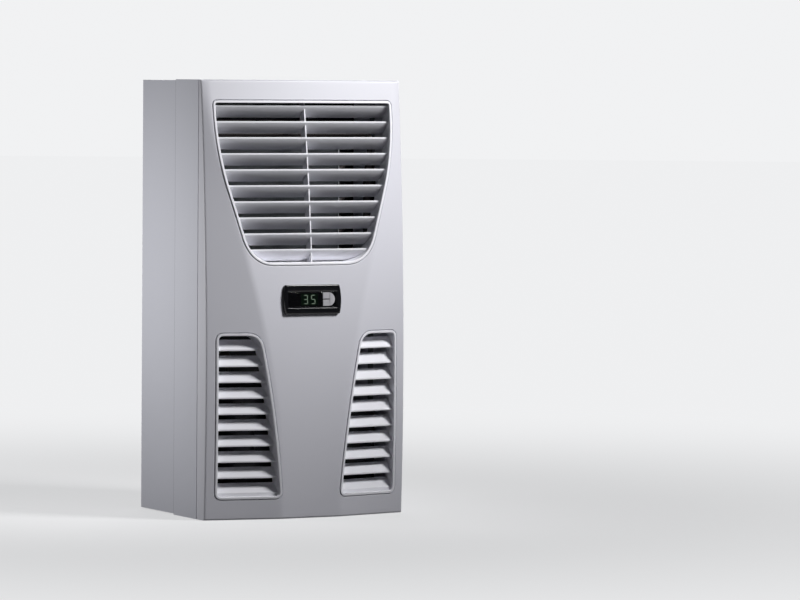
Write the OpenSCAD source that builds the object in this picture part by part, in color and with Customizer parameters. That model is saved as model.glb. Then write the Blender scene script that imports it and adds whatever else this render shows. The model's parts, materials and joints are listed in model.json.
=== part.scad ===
// Wall-mounted cooling unit for an electrical enclosure.
// X runs to the right, Z runs up and the front faces -Y.
// The origin is the centre of the four mounting inserts, on the mounting face.
// A depth is measured forwards from the mounting face, so depth d lies at y = -d,
// and a height is measured from the bottom until in_frame() moves a piece to the origin.

/* [Body] */
// Width over the hood
body_w = 280; // [270:1:320]
// Height over the hood
body_h = 550; // [540:1:600]
// Depth from the mounting face to the foremost line of the front
body_d = 210; // [209:1:225]
// Depth of the rear housing up to the edge of the hood
housing_d = 100; // [80:1:104]
// Depth of the front, from the hood's edge to the foremost line
cover_depth = 44; // [42:1:50]
// Width of that groove
seam_gap = 1.4; // [0.5:0.1:1.5]
// Sheet thickness of housing, hood and partition
sheet_t = 1.2; // [1:0.1:1.5]
// Length over which the hood laps the housing
lap = 10; // [6:1:16]
// Gap between pieces that slide into each other
fit_gap = 0.2; // [0.1:0.05:0.3]
// How far a cut runs past what it cuts
overrun = 1; // [0.5:0.1:2]

/* [Front cover] */
// Wall of the front cover
cover_t = 2.5; // [2:0.1:3]
// How far the middle of the front stands before its side edges
shield_lift = 18.5; // [14:0.5:20]
// Height of the foremost line of the middle
shield_apex_z = 120; // [90:1:150]
// How far the middle falls back towards the top
shield_sag = 37.5; // [34:0.5:38]
// Height of the foremost point of the side edges
edge_apex_z = 160; // [120:1:200]
// How far the side edges fall back towards the top
edge_sag = 19.5; // [17:0.5:20]
// Rounding of the edges of the front
edge_round = 2.5; // [1.5:0.1:3]
// Half width of the middle at the bottom
crease_low = 41; // [36:0.5:44]
// Width of the side flank at the top
flank_top_w = 9; // [8.5:0.1:11]
// Rounding of the crease between middle and flank
crease_round = 4.5; // [3:0.1:5]

/* [Grilles] */
// Rise from the middle of the display to the sill of the upper grille
upper_sill_rise = 46.5; // [43:0.5:53]
// Distance of the upper grille from the top
upper_top_gap = 29; // [26:0.5:36]
// Inset of the upper grille from the crease at its top
upper_side_gap = 8.7; // [8:0.1:14]
// Reach of the large lower corners of the upper grille
upper_corner = 30; // [20:1:36]
// Height of the sill of the lower grilles
lower_sill_z = 29; // [26:0.5:34]
// Drop from the middle of the display to the top of the lower grilles
lower_top_drop = 44.5; // [39:0.5:51]
// Inset of the lower grilles from the side
lower_side_gap = 16.2; // [14:0.1:20]
// Distance of the lower grilles from the crease at the bottom
lower_inset = 0.75; // [0.6:0.05:2]
// Reach of the large inner corner of a lower grille
lower_corner = 15; // [8:1:20]
// Reach of the upper grille's upper corners
top_corner = 3; // [2:0.5:5]
// Radius with which the upper grille's sides bow out above its lower corners
upper_bow_r = 1040; // [950:10:1400]
// Reach of the small corners of a lower grille
small_corner = 6; // [3:0.5:8]
// Pitch of the slats
slat_pitch = 20; // [18:0.5:24]
// Thickness of a slat, measured upright
slat_t = 2.2; // [1.6:0.1:3]
// Depth of a slat
slat_d = 15; // [10:0.5:16]
// Fall of an upper slat from front to back
slat_fall = 14; // [8:0.5:15]
// Rise of a lower slat from front to back
slat_rise = 12.5; // [8:0.5:15]
// How far the slats lie behind the surface of the cover
slat_recess = 4.5; // [3:0.1:5]
// Width of the rim round each grille
rim_w = 3.2; // [2.5:0.1:4.5]
// How far the rim stands proud of the cover
rim_proud = 0.8; // [0.4:0.1:1.5]
// Groove between rim and cover
rim_gap = 0.8; // [0.4:0.1:1.2]
// Width of the flange behind the cover that holds a grille
flange_w = 3; // [2:0.1:4]
// Thickness of that flange
flange_t = 1.6; // [1:0.1:2]
// Thickness of the middle rib of the upper grille
rib_t = 2; // [1.2:0.1:3]
// Sideways place of the rib
rib_x = 5.4; // [0:0.1:8]
// How far the rib lies behind the slats
rib_recess = 1.5; // [1:0.1:3]

/* [Display] */
// Drop from the top to the middle of the display
display_drop = 275; // [270:0.5:280]
// Width of the bezel at its corners
bezel_w = 76.6; // [74:0.2:86]
// Height of the bezel
bezel_h = 37; // [35:0.5:42]
// Bulge of the bezel's short sides
bezel_bulge = 3.5; // [1:0.1:5]
// How far the bezel stands before the cover
bezel_proud = 4; // [3.6:0.1:4.4]
// Width of the window
window_w = 67; // [66:0.5:68]
// Height of the window
window_h = 19; // [18:0.5:21]
// Thickness of the window
window_t = 1.4; // [1:0.1:1.6]
// Height of a digit
digit_h = 11.6; // [10:0.1:13]
// Width of a digit
digit_w = 5.8; // [5:0.1:7.5]
// Distance between digits
digit_pitch = 10.4; // [8.4:0.1:11.4]
// Sideways place of the middle of the digits
digit_x = -3; // [-6:0.1:0]
// Stroke of a digit
digit_stroke = 1; // [0.8:0.1:1.6]
// Left edge of the keypad
keypad_x = 14.6; // [14:0.1:17]
// Width of the keypad
keypad_w = 16.8; // [16:0.1:18]
// Height of the keypad
keypad_h = 17; // [14:0.1:17.5]
// Width of the two left keys
key_w = 9.5; // [8:0.1:10]
// Gap round a key
key_gap = 0.3; // [0.2:0.05:0.4]
// Slot between the two left keys
key_slot = 1.2; // [0.4:0.1:1.4]
// Travel of a key
key_travel = 0.8; // [0.5:0.1:1]

/* [Rear] */
// Depth of the recess for the gasket
gasket_t = 3; // [2.5:0.1:4]
// Width of the gasket
gasket_w = 12; // [8:1:14]
// Distance of the mounting inserts from the sides
insert_side_gap = 30; // [28:1:40]
// Distance of the mounting inserts from the top and the bottom
insert_end_gap = 30; // [28:1:40]
// Radius of the thread of a mounting insert
insert_r = 2.5; // [2:0.1:3]
// Length of a mounting insert
insert_l = 14; // [10:0.5:16]
// Radius of the warm air inlet
inlet_r = 54; // [46:1:56]
// Drop from the top to the middle of the warm air inlet
inlet_drop = 110; // [98:1:120]
// Distance of the cold air outlet from the ends of the evaporator
outlet_side_gap = 7; // [4:1:27]
// Height of the cold air outlet
outlet_h = 90; // [60:1:110]
// Height of the lower edge of the cold air outlet
outlet_z = 92; // [86:1:100]

/* [Cold side] */
// Depth of the partition
partition_d = 52; // [50:1:54]
// Distance of the evaporator from the sides
evaporator_side_gap = 38; // [35:1:40]
// Distance between the evaporator and the terminal block above it
evaporator_top_gap = 35; // [25:1:45]
// Thickness of the evaporator
evaporator_t = 26; // [22:1:28]
// Depth at the back of the evaporator
evaporator_d = 15; // [12:1:18]
// Height of the floor of the condensate tray
tray_z = 58; // [50:1:64]
// Height of the walls of the condensate tray
tray_h = 18; // [14:1:20]
// Inner radius of the drain
drain_r = 4; // [3:0.1:5]
// Wall of the drain
drain_t = 1.8; // [1.2:0.1:2.5]
// Radius of the evaporator fan
blower_r = 64; // [60:1:66]
// Depth of the wheel of the evaporator fan
blower_l = 24; // [20:1:25]

/* [Warm side] */
// Distance of the condenser from the left side, with room for its bends
condenser_left_gap = 21; // [20:0.5:26]
// Distance of the condenser from the right side, with room for the drier
condenser_right_gap = 75; // [66:0.5:80]
// Height of the condenser
condenser_h = 160; // [152:1:164]
// Share of the warm side's depth that the condenser takes
condenser_share = 0.372; // [0.270:0.002:0.372]
// Drop from the sill of the upper grille to the bottom of the condenser
condenser_drop = 15.5; // [9.5:0.5:21.5]
// Side of the condenser fan's frame
fan_side = 150; // [144:1:152]
// Share of the warm side's depth that the condenser fan takes
fan_share = 0.337; // [0.285:0.002:0.337]
// Least wall round the bore of the fan's frame
fan_wall = 4; // [4:0.5:8]
// Radius of a fan's shaft
shaft_r = 3; // [2.5:0.1:4]
// Running clearance of a fan's shaft
shaft_gap = 0.05; // [0.02:0.01:0.1]
// Gap between the partition and the compressor's shell
compressor_gap = 8.8; // [7:0.1:13]
// Height of the compressor's shell
compressor_h = 150; // [130:1:160]
// Sideways place of the compressor
compressor_x = -45; // [-50:0.5:-40]
// Radius of a copper pipe
pipe_r = 4; // [3:0.1:4.5]
// Spacing of the fins of both coils
fin_pitch = 4; // [3.5:0.1:6]
// Thickness of a fin
fin_t = 0.6; // [0.4:0.1:0.8]
// Radius of a coil's tubes
tube_r = 3.5; // [3:0.1:4]

/* [Hidden] */
$fn = 64;

light_grey = [0.80, 0.81, 0.80];
dark_grey = [0.25, 0.26, 0.27];
black = [0.05, 0.05, 0.05];
steel = [0.68, 0.69, 0.70];
aluminium = [0.78, 0.79, 0.80];
copper = [0.72, 0.42, 0.25];
green = [0.25, 0.85, 0.45];
board_green = [0.1, 0.35, 0.2];

// Shares of the height at which the crease starts its straight run, ends it and stands upright
crease_shares = [0.545, 0.80, 0.982];
// Shares of the upper grille's height between which its sides bend upright
upper_bend_shares = [0.50, 0.95];
// Steps of a rounding, of a large corner and of the front's height
round_steps = 3;
corner_steps = 7;
cover_steps = 18;

half_w = body_w / 2;
seam_d = body_d - cover_depth;
display_z = body_h - display_drop;
upper_sill_z = display_z + upper_sill_rise;
lower_top_z = display_z - lower_top_drop;
inlet_z = body_h - inlet_drop;
edge_front_d = body_d - shield_lift;
crease_top = half_w - flank_top_w;
crease_z = body_h * crease_shares;
crease_slope = 2 * (crease_top - crease_low) / (crease_z[1] + crease_z[2] - crease_z[0]);

// Shape of the front
function fall(z, apex, sag) = sag * pow((z - apex) / (body_h - apex), 2);
function edge_d(z) = edge_front_d - fall(z, edge_apex_z, edge_sag);
function shield_d(z) = body_d - fall(z, shield_apex_z, shield_sag);
function bend(z, top, z_a, z_b) =
    z < z_a ? top - crease_slope * ((z_b - z_a) / 2 + z_a - z)
    : z < z_b ? top - crease_slope * pow(z_b - z, 2) / (2 * (z_b - z_a))
    : top;
function crease_half(z) =
    z < crease_z[0] ? crease_low + crease_slope * z * z / (2 * crease_z[0])
    : bend(z, crease_top, crease_z[1], crease_z[2]);
function flank_slope(z) = (shield_d(z) - edge_d(z)) / (half_w - crease_half(z));
function front_d(x, z) =
    shield_d(z) - flank_slope(z) * max(0, abs(x) - crease_half(z));

// A rounding from a to c about the corner b
function rounding(a, b, c, steps) =
    [for (i = [0:steps]) let (t = i / steps) (1 - t) * (1 - t) * a + 2 * t * (1 - t) * b + t * t * c];
// An outline moved outwards by a distance; it runs anticlockwise
function grow(path, by) = let (n = len(path))
    [for (i = [0:n - 1]) let (run = path[(i + 1) % n] - path[(i + n - 1) % n])
        path[i] + by * [run.y, -run.x] / norm(run)];
function mirrored(path) = [for (i = [len(path) - 1:-1:0]) [-path[i].x, path[i].y]];

// Moves a piece whose heights count from the bottom to the origin
module in_frame() {
    translate([0, 0, -body_h / 2])
        children();
}

// Solid between two depths with an outline drawn as seen from the front
module slab(path, from_d, to_d) {
    translate([0, -from_d, 0])
        rotate([90, 0, 0])
            linear_extrude(to_d - from_d)
                polygon(path);
}

// Box between two corners given as x, depth and height
module block(low, high) {
    translate([low.x, -high.y, low.z])
        cube([high.x - low.x, high.y - low.y, high.z - low.z]);
}

// Cylinder that lies along the depth
module rod(x, z, from_d, to_d, r) {
    translate([x, -from_d, z])
        rotate([90, 0, 0])
            cylinder(r = r, h = to_d - from_d);
}

// Solid with one ring of points above the other
module loft(rings) {
    n = len(rings[0]);
    top = len(rings) - 1;
    points = [for (ring = rings) each ring];
    low_face = [for (i = [n - 1:-1:0]) i];
    high_face = [for (i = [0:n - 1]) top * n + i];
    sides = [for (k = [0:top - 1], i = [0:n - 1]) let (j = (i + 1) % n)
        each [[k * n + j, (k + 1) * n + j, (k + 1) * n + i], [k * n + j, (k + 1) * n + i, k * n + i]]];
    polyhedron(points, concat([low_face, high_face], sides));
}

// Round tube swept along a list of points
function tube_ring(path, i, r, sides) = let (
        a = path[max(i - 1, 0)],
        b = path[min(i + 1, len(path) - 1)],
        run = (b - a) / norm(b - a),
        aside = abs(run.z) > 0.9 ? [1, 0, 0] : [0, 0, 1],
        u = cross(run, aside) / norm(cross(run, aside)),
        v = cross(run, u))
    [for (k = [0:sides - 1]) let (turn = -360 * k / sides) path[i] + r * (cos(turn) * u + sin(turn) * v)];
module tube(path, r, sides = 12) {
    loft([for (i = [0:len(path) - 1]) tube_ring(path, i, r, sides)]);
}
// Points of a pipe run with each inner corner rounded by a reach
function pipe_path(corners, reach) = let (last = len(corners) - 1)
    concat([corners[0]],
        [for (i = [1:last - 1]) let (
            a = corners[i] + reach * (corners[i - 1] - corners[i]) / norm(corners[i - 1] - corners[i]),
            c = corners[i] + reach * (corners[i + 1] - corners[i]) / norm(corners[i + 1] - corners[i]))
            each rounding(a, corners[i], c, corner_steps)],
        [corners[last]]);

// Housing
housing_half = half_w - sheet_t;
housing_low = sheet_t;
housing_high = body_h - sheet_t;
housing_front = housing_d + lap;
plate_d = gasket_t + sheet_t;
insert_wall = 2;
insert_flange_w = 2.5;
insert_shell_r = insert_r + insert_wall;
insert_head_r = insert_shell_r + insert_flange_w;
drain_x = 70;
drain_d = 26;
drain_outer_r = drain_r + drain_t;
plug_w = 46;
plug_h = 18;
plug_x = 60;
plug_drop = 120;
plug_z = inlet_z - plug_drop;
plug_l = 22;
plug_wall = 2;
plug_rear_gap = 2;
evaporator_w = body_w - 2 * evaporator_side_gap;
outlet_w = evaporator_w - 2 * outlet_side_gap;

// Places of the four mounting inserts
function insert_places() =
    [for (x = [-1, 1], z = [insert_end_gap, body_h - insert_end_gap]) [x * (half_w - insert_side_gap), z]];

module rear_housing() {
    color(light_grey) in_frame()
    difference() {
        block([-housing_half, 0, housing_low], [housing_half, housing_front, housing_high]);
        block([-housing_half + sheet_t, plate_d, housing_low + sheet_t],
            [housing_half - sheet_t, housing_front + overrun, housing_high - sheet_t]);
        block([-housing_half + sheet_t, -overrun, housing_low + sheet_t],
            [housing_half - sheet_t, gasket_t, housing_high - sheet_t]);
        rod(0, inlet_z, 0, plate_d + overrun, inlet_r);
        block([-outlet_w / 2, 0, outlet_z], [outlet_w / 2, plate_d + overrun, outlet_z + outlet_h]);
        for (p = insert_places())
            rod(p.x, p.y, 0, plate_d + overrun, insert_shell_r + fit_gap / 2);
        block([plug_x - plug_w / 2 - fit_gap, 0, plug_z - plug_h / 2 - fit_gap],
            [plug_x + plug_w / 2 + fit_gap, plate_d + overrun, plug_z + plug_h / 2 + fit_gap]);
        translate([drain_x, -drain_d, housing_low - overrun])
            cylinder(r = drain_outer_r + fit_gap, h = sheet_t + 2 * overrun);
        for (x = hood_screw_x)
            translate([x, -hood_screw_d, housing_high - sheet_t - overrun])
                cylinder(r = screw_r + fit_gap, h = sheet_t + 2 * overrun);
    }
}

module rear_gasket() {
    side = housing_half - sheet_t - fit_gap;
    low = housing_low + sheet_t + fit_gap;
    high = housing_high - sheet_t - fit_gap;
    color(black) in_frame()
    difference() {
        block([-side, 0, low], [side, gasket_t, high]);
        block([-side + gasket_w, -overrun, low + gasket_w],
            [side - gasket_w, gasket_t + overrun, high - gasket_w]);
    }
}

module mounting_inserts() {
    color(steel) in_frame()
    for (p = insert_places())
        difference() {
            union() {
                rod(p.x, p.y, 0, gasket_t, insert_head_r);
                rod(p.x, p.y, 0, insert_l, insert_shell_r);
            }
            rod(p.x, p.y, -overrun, insert_l + overrun, insert_r);
        }
}

guard_wire = 1.6;
guard_ring_w = 4;
guard_shares = [0.25, 0.5, 0.75];
guard_turns = [45, 135];

module inlet_guard() {
    outer = inlet_r + guard_ring_w;
    color(dark_grey) in_frame()
    difference() {
        rod(0, inlet_z, gasket_t - guard_wire, gasket_t, outer);
        difference() {
            rod(0, inlet_z, 0, gasket_t + overrun, inlet_r - guard_wire);
            for (share = guard_shares)
                difference() {
                    rod(0, inlet_z, 0, gasket_t + overrun, share * inlet_r + guard_wire / 2);
                    rod(0, inlet_z, 0, gasket_t + overrun, share * inlet_r - guard_wire / 2);
                }
            for (turn = guard_turns)
                translate([0, -gasket_t / 2, inlet_z])
                    rotate([0, turn, 0])
                        cube([2 * outer, 2 * gasket_t, 2 * guard_wire], center = true);
        }
    }
}

pipe_hole_gap = 2;

module partition() {
    side = housing_half - sheet_t - fit_gap;
    color(steel) in_frame()
    difference() {
        block([-side, partition_d, housing_low + sheet_t + fit_gap],
            [side, partition_d + sheet_t, housing_high - sheet_t - fit_gap]);
        for (hole = [suction_hole, liquid_hole])
            rod(hole.x, hole.y, partition_d - overrun, partition_d + sheet_t + overrun,
                pipe_r + pipe_hole_gap);
    }
}

// Hood
hood_front = seam_d;
stud_inset = 11;
hood_flange_w = 18;
hood_side_flange_w = 13;
stud_socket_r = 5;
stud_r = 2.2;
hood_screw_inset = 50;
hood_screw_x = [for (i = [-1:1]) i * (half_w - hood_screw_inset)];
screw_r = 2;
screw_head_r = 4;
screw_l = 5;
hood_screw_d = housing_d + lap / 2;

function stud_places() =
    [for (x = [-1, 1], z = [stud_inset, body_h - stud_inset]) [x * (half_w - stud_inset), z]];

module hood() {
    color(light_grey) in_frame()
    difference() {
        block([-half_w, housing_d, 0], [half_w, hood_front, body_h]);
        block([-half_w + sheet_t, housing_d - overrun, sheet_t],
            [half_w - sheet_t, hood_front - sheet_t, body_h - sheet_t]);
        block([-half_w + hood_flange_w, housing_d - overrun, sheet_t],
            [half_w - hood_flange_w, hood_front + overrun, body_h - hood_flange_w]);
        block([-half_w + hood_side_flange_w, housing_d - overrun, lower_sill_z],
            [half_w - hood_side_flange_w, hood_front + overrun, body_h - hood_flange_w]);
        for (p = stud_places())
            rod(p.x, p.y, hood_front - sheet_t - overrun, hood_front + overrun, stud_socket_r + fit_gap / 2);
        for (x = hood_screw_x)
            translate([x, -hood_screw_d, body_h - sheet_t])
                cylinder(r1 = screw_r + fit_gap, r2 = screw_head_r + fit_gap, h = sheet_t);
    }
}

module hood_screws() {
    color(steel) in_frame()
    for (x = hood_screw_x)
        translate([x, -hood_screw_d, body_h - sheet_t]) {
            cylinder(r1 = screw_r, r2 = screw_head_r, h = sheet_t);
            translate([0, 0, -screw_l])
                cylinder(r = screw_r, h = screw_l);
        }
}

// Front cover
stud_head_r = 2.9;
stud_head_l = 3;
boss_r = 5.5;
cover_back = seam_d + seam_gap;
display_tilt = atan(2 * (shield_d(display_z) - shield_d(display_z + overrun)) / (2 * overrun));

// One side of the ring at a height, from the back to the middle; the surface is moved outwards by g
function cover_half(z, g, back, inset) = let (
        w = half_w + min(g, 0),
        e = [w, edge_d(z) + g - inset],
        c = [crease_half(z), shield_d(z) + g - inset],
        f = (c - e) / norm(c - e),
        r = min(cover_round(g), (e.y - back) / 2))
    concat([[w, back]],
        rounding([w, e.y - r], e, e + f * r, round_steps),
        rounding(c - f * crease_round, c, c - [crease_round, 0], round_steps));
function cover_ring(z, g, back, inset) = let (side = cover_half(z, g, back, inset))
    [for (p = concat(side, mirrored(side))) [p.x, -p.y, z]];
function cover_round(g) = max(edge_round + min(g, 0), edge_round / 4);
function end_levels(r) = [for (i = [0:round_steps]) r * (1 - cos(90 * i / (round_steps + 1)))];
function end_inset(e, r) = e < r ? r - sqrt(r * r - (r - e) * (r - e)) : 0;

// The front as a solid from a depth to its surface
module cover_body(g, back) {
    low = -min(g, 0);
    high = body_h + min(g, 0);
    r = cover_round(g);
    ends = end_levels(r);
    middle = high - low - 2 * r;
    levels = concat([for (e = ends) low + e],
        [for (i = [0:cover_steps]) low + r + middle * i / cover_steps],
        [for (i = [len(ends) - 1:-1:0]) high - ends[i]]);
    loft([for (z = levels) cover_ring(z, g, back, end_inset(min(z - low, high - z), r))]);
}

// Outline of the upper grille's opening
upper_top_z = body_h - upper_top_gap;
upper_half = crease_top - upper_side_gap;
upper_z = [for (share = upper_bend_shares) upper_sill_z + share * (upper_top_z - upper_sill_z)];
function upper_side(z) =
    bend(z, upper_half, upper_z[0], upper_z[1]) - pow(max(upper_z[0] - z, 0), 2) / (2 * upper_bow_r);
function upper_outline() = let (
        foot = [upper_side(upper_sill_z), upper_sill_z],
        side = [for (i = [0:corner_steps]) let (z = upper_z[0] + (upper_z[1] - upper_z[0]) * i / corner_steps)
            [upper_side(z), z]],
        right = concat(
            rounding(foot - [upper_corner, 0], foot,
                [upper_side(upper_sill_z + upper_corner), upper_sill_z + upper_corner], corner_steps),
            side,
            rounding([upper_half, upper_top_z - top_corner], [upper_half, upper_top_z],
                [upper_half - top_corner, upper_top_z], round_steps)))
    concat(right, mirrored(right));

// Outline of the right lower grille's opening
lower_half = half_w - lower_side_gap;
lower_lean_share = 0.06;
lower_bow_r = 1520;
function lower_side(z) = crease_low + lower_inset + lower_lean_share * z + z * z / (2 * lower_bow_r);
function lower_outline() = let (
        top = lower_top_z,
        sill = lower_sill_z,
        run_low = sill + small_corner,
        run_high = top - lower_corner)
    concat(
        rounding([lower_half - small_corner, sill], [lower_half, sill], [lower_half, run_low], round_steps),
        rounding([lower_half, top - small_corner], [lower_half, top],
            [lower_half - small_corner, top], round_steps),
        rounding([lower_side(top) + lower_corner, top], [lower_side(top), top],
            [lower_side(run_high), run_high], corner_steps),
        [for (i = [1:corner_steps]) let (z = run_high - (run_high - run_low) * i / corner_steps)
            [lower_side(z), z]],
        rounding([lower_side(run_low), run_low], [lower_side(sill), sill],
            [lower_side(sill) + small_corner, sill], round_steps));

module both_sides() {
    children();
    mirror([1, 0, 0])
        children();
}

bezel_lip = 2;
display_cut_w = bezel_w - 2 * bezel_lip;
display_cut_h = bezel_h - 2 * bezel_lip;

module at_display() {
    translate([0, -shield_d(display_z), display_z])
        rotate([-display_tilt, 0, 0])
            children();
}

module front_cover() {
    hole_growth = rim_w + rim_gap;
    color(light_grey) in_frame() {
        difference() {
            cover_body(0, cover_back);
            cover_body(-cover_t, housing_d);
            slab(grow(upper_outline(), hole_growth), seam_d, body_d + overrun);
            both_sides()
                slab(grow(lower_outline(), hole_growth), seam_d, body_d + overrun);
            at_display()
                block([-display_cut_w / 2, -bezel_h, -display_cut_h / 2],
                    [display_cut_w / 2, bezel_h, display_cut_h / 2]);
        }
        intersection() {
            cover_body(-cover_t / 2, housing_d);
            for (p = stud_places())
                difference() {
                    rod(p.x, p.y, cover_back, body_d, boss_r);
                    rod(p.x, p.y, cover_back - overrun, cover_back + stud_head_l, stud_r + fit_gap);
                }
        }
    }
}

module cover_studs() {
    color(steel) in_frame()
    for (p = stud_places()) {
        rod(p.x, p.y, hood_front - stud_head_l, cover_back + stud_head_l - fit_gap, stud_r);
        translate([p.x, -(hood_front - stud_head_l), p.y])
            sphere(r = stud_head_r);
    }
}

module stud_sockets() {
    socket_l = 2 * stud_head_l + sheet_t;
    color(black) in_frame()
    for (p = stud_places())
        difference() {
            union() {
                rod(p.x, p.y, hood_front - socket_l, hood_front, stud_socket_r);
                rod(p.x, p.y, hood_front, hood_front + seam_gap - fit_gap, boss_r);
            }
            rod(p.x, p.y, hood_front - socket_l - overrun, hood_front + seam_gap + overrun,
                stud_head_r + fit_gap);
        }
}

// Grilles
grille_depth = slat_d + slat_recess;
slat_bite = rim_w / 2;
first_slat_up = 17;
first_slat_low = 2.5;
upper_first_z = upper_sill_z + first_slat_up;
lower_first_z = lower_sill_z + first_slat_low;
upper_slats = 1 + floor((upper_top_z - upper_first_z) / slat_pitch);
lower_slats = 1 + floor((lower_top_z - slat_t - lower_first_z) / slat_pitch);

// The front's middle and one flank as solids from the depth of the seam to their surface
module shield_body() {
    low = upper_sill_z - slat_pitch;
    levels = [for (i = [0:cover_steps]) low + (body_h - upper_sill_z) * i / cover_steps];
    translate([-half_w, 0, 0])
        rotate([90, 0, 90])
            linear_extrude(body_w)
                polygon(concat([[-seam_d / 2, levels[cover_steps]], [-seam_d / 2, levels[0]]],
                    [for (z = levels) [-shield_d(z), z]]));
}

module flank_body() {
    high = lower_top_z + slat_pitch;
    overlap = 2 * rim_w;
    loft([for (i = [0:cover_steps]) let (
            z = high * i / cover_steps,
            inner = crease_half(z) - overlap,
            inner_d = shield_d(z) + overlap * flank_slope(z))
        [[half_w, -seam_d / 2, z], [half_w, -edge_d(z), z], [inner, -inner_d, z], [inner, -seam_d / 2, z]]]);
}

// Layer between two distances before the surface of the children, within an outline
module layer(path, low, high) {
    intersection() {
        slab(path, seam_d / 2, body_d + overrun);
        difference() {
            translate([0, -high, 0])
                children();
            translate([0, -low, 0])
                children();
        }
    }
}

// Rim of a grille with its flange behind the cover
module grille_rim(path) {
    flange_front = -cover_t - fit_gap;
    difference() {
        union() {
            layer(grow(path, rim_w), -grille_depth, rim_proud)
                children();
            intersection() {
                layer(grow(path, rim_w + rim_gap + flange_w), flange_front - flange_t, flange_front)
                    children();
                cover_body(flange_front, seam_d / 2);
            }
        }
        slab(path, seam_d / 2, body_d + 2 * overrun);
    }
}

// Slat whose front edge lies at zero depth and height, drawn from x = 0 to the left
module slat(length, fall) {
    translate([-length, 0, 0])
        rotate([90, 0, 90])
            linear_extrude(length)
                polygon([[0, 0], [slat_d, -fall], [slat_d, -fall - slat_t], [0, -slat_t]]);
}

module upper_grille() {
    path = upper_outline();
    color(light_grey) in_frame() {
        grille_rim(path)
            shield_body();
        intersection() {
            slab(grow(path, slat_bite), seam_d / 2, body_d);
            union() {
                for (i = [0:upper_slats - 1]) {
                    z = upper_first_z + i * slat_pitch;
                    translate([half_w, slat_recess - shield_d(z), z])
                        slat(body_w, slat_fall);
                }
                translate([rib_x - rib_t / 2, 0, 0])
                    rotate([90, 0, 90])
                        linear_extrude(rib_t)
                            polygon(concat(
                                [for (i = [0:corner_steps]) rib_point(i, slat_recess + rib_recess)],
                                [for (i = [corner_steps:-1:0]) rib_point(i, slat_recess + slat_d)]));
            }
        }
    }
}
function rib_point(i, back) = let (z = upper_sill_z + (upper_top_z - upper_sill_z) * i / corner_steps)
    [back - shield_d(z), z];

// Turns a piece of the right lower grille with its flank, at the slats' front edge
module at_flank(z) {
    translate([half_w, slat_recess - front_d(half_w, z), z])
        rotate([0, 0, atan(flank_slope(z))])
            children();
}

module lower_right_grille() {
    path = lower_outline();
    color(light_grey) in_frame() {
        grille_rim(path)
            flank_body();
        intersection() {
            slab(grow(path, slat_bite), seam_d / 2, body_d);
            union() {
                for (i = [0:lower_slats - 1])
                    at_flank(lower_first_z + i * slat_pitch)
                        translate([0, 0, slat_t])
                            slat(half_w, -slat_rise);
                at_flank(lower_first_z)
                    translate([-half_w, 0, -2 * slat_bite - first_slat_low])
                        cube([half_w, slat_t, 2 * slat_bite + first_slat_low + slat_t / 2]);
            }
        }
    }
}

module lower_left_grille() {
    mirror([1, 0, 0])
        lower_right_grille();
}

// Display; its pieces are drawn round the middle of the bezel, with the cover's surface at zero depth
window_back = 1.2;
window_ledge = 1.2;
window_bevel = 1.5;
bezel_bevel = 1.2;
bezel_back = -14;
bezel_wall = 2;
module_t = 7;
board_t = 1.6;
led_w = 24;
led_h = 15;
led_gap = 0.6;
led_front = window_back - led_gap;
digit_t = 0.3;
key_proud = 0.9;
key_flange = 1;
key_flange_t = 1;
key_stop_gap = 0.1;
plate_back = window_back - key_gap - key_flange_t - key_travel - key_stop_gap;
board_w = display_cut_w - 2 * bezel_wall - 2 * fit_gap;
board_h = display_cut_h - 2 * bezel_wall - 2 * fit_gap;

function bezel_outline(inset) = let (
        right = [for (i = [-round_steps:round_steps]) let (share = i / round_steps)
            [bezel_w / 2 - inset + bezel_bulge * (1 - share * share), share * (bezel_h / 2 - inset)]])
    concat(right, mirrored(right));
function box_outline(w, h) = [[w / 2, -h / 2], [w / 2, h / 2], [-w / 2, h / 2], [-w / 2, -h / 2]];

module display_bezel() {
    color(light_grey) in_frame()
    at_display()
        difference() {
            union() {
                hull() {
                    slab(bezel_outline(0), fit_gap, bezel_proud - bezel_bevel);
                    slab(bezel_outline(bezel_bevel), fit_gap, bezel_proud);
                }
                slab(box_outline(display_cut_w - 2 * fit_gap, display_cut_h - 2 * fit_gap),
                    bezel_back, fit_gap);
                for (z = [-1, 1])
                    translate([0, 0, z * (display_cut_h / 2)])
                        block([-bezel_w / 8, -cover_t - fit_gap - window_t, -window_t],
                            [bezel_w / 8, -cover_t - fit_gap, window_t]);
            }
            hull() {
                slab(box_outline(window_w, window_h), window_back + window_t, bezel_proud);
                slab(box_outline(window_w + 2 * window_bevel, window_h + 2 * window_bevel),
                    bezel_proud, bezel_proud + overrun);
            }
            slab(box_outline(window_w, window_h), window_back, bezel_proud);
            slab(keypad_outline(key_flange + key_gap), plate_back - overrun, window_back);
            slab(box_outline(window_w - 2 * window_ledge, window_h - 2 * window_ledge),
                plate_back - overrun, bezel_proud);
            slab(box_outline(display_cut_w - 2 * bezel_wall, display_cut_h - 2 * bezel_wall),
                bezel_back - overrun, plate_back);
        }
}

// Keypad outline: a rectangle whose right end is round
keypad_r = keypad_h / 2;
function keypad_outline(g) = let (
        left = keypad_x - g,
        centre = keypad_x + keypad_w - keypad_r)
    concat([[left, keypad_r + g], [left, -keypad_r - g]],
        [for (i = [0:2 * corner_steps]) let (turn = -90 + 180 * i / (2 * corner_steps))
            [centre + (keypad_r + g) * cos(turn), (keypad_r + g) * sin(turn)]]);

module display_window() {
    color(black) in_frame()
    at_display()
        difference() {
            slab(box_outline(window_w - 2 * fit_gap, window_h - 2 * fit_gap),
                window_back, window_back + window_t);
            slab(keypad_outline(key_gap), window_back - overrun, window_back + window_t + overrun);
        }
}

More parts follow.
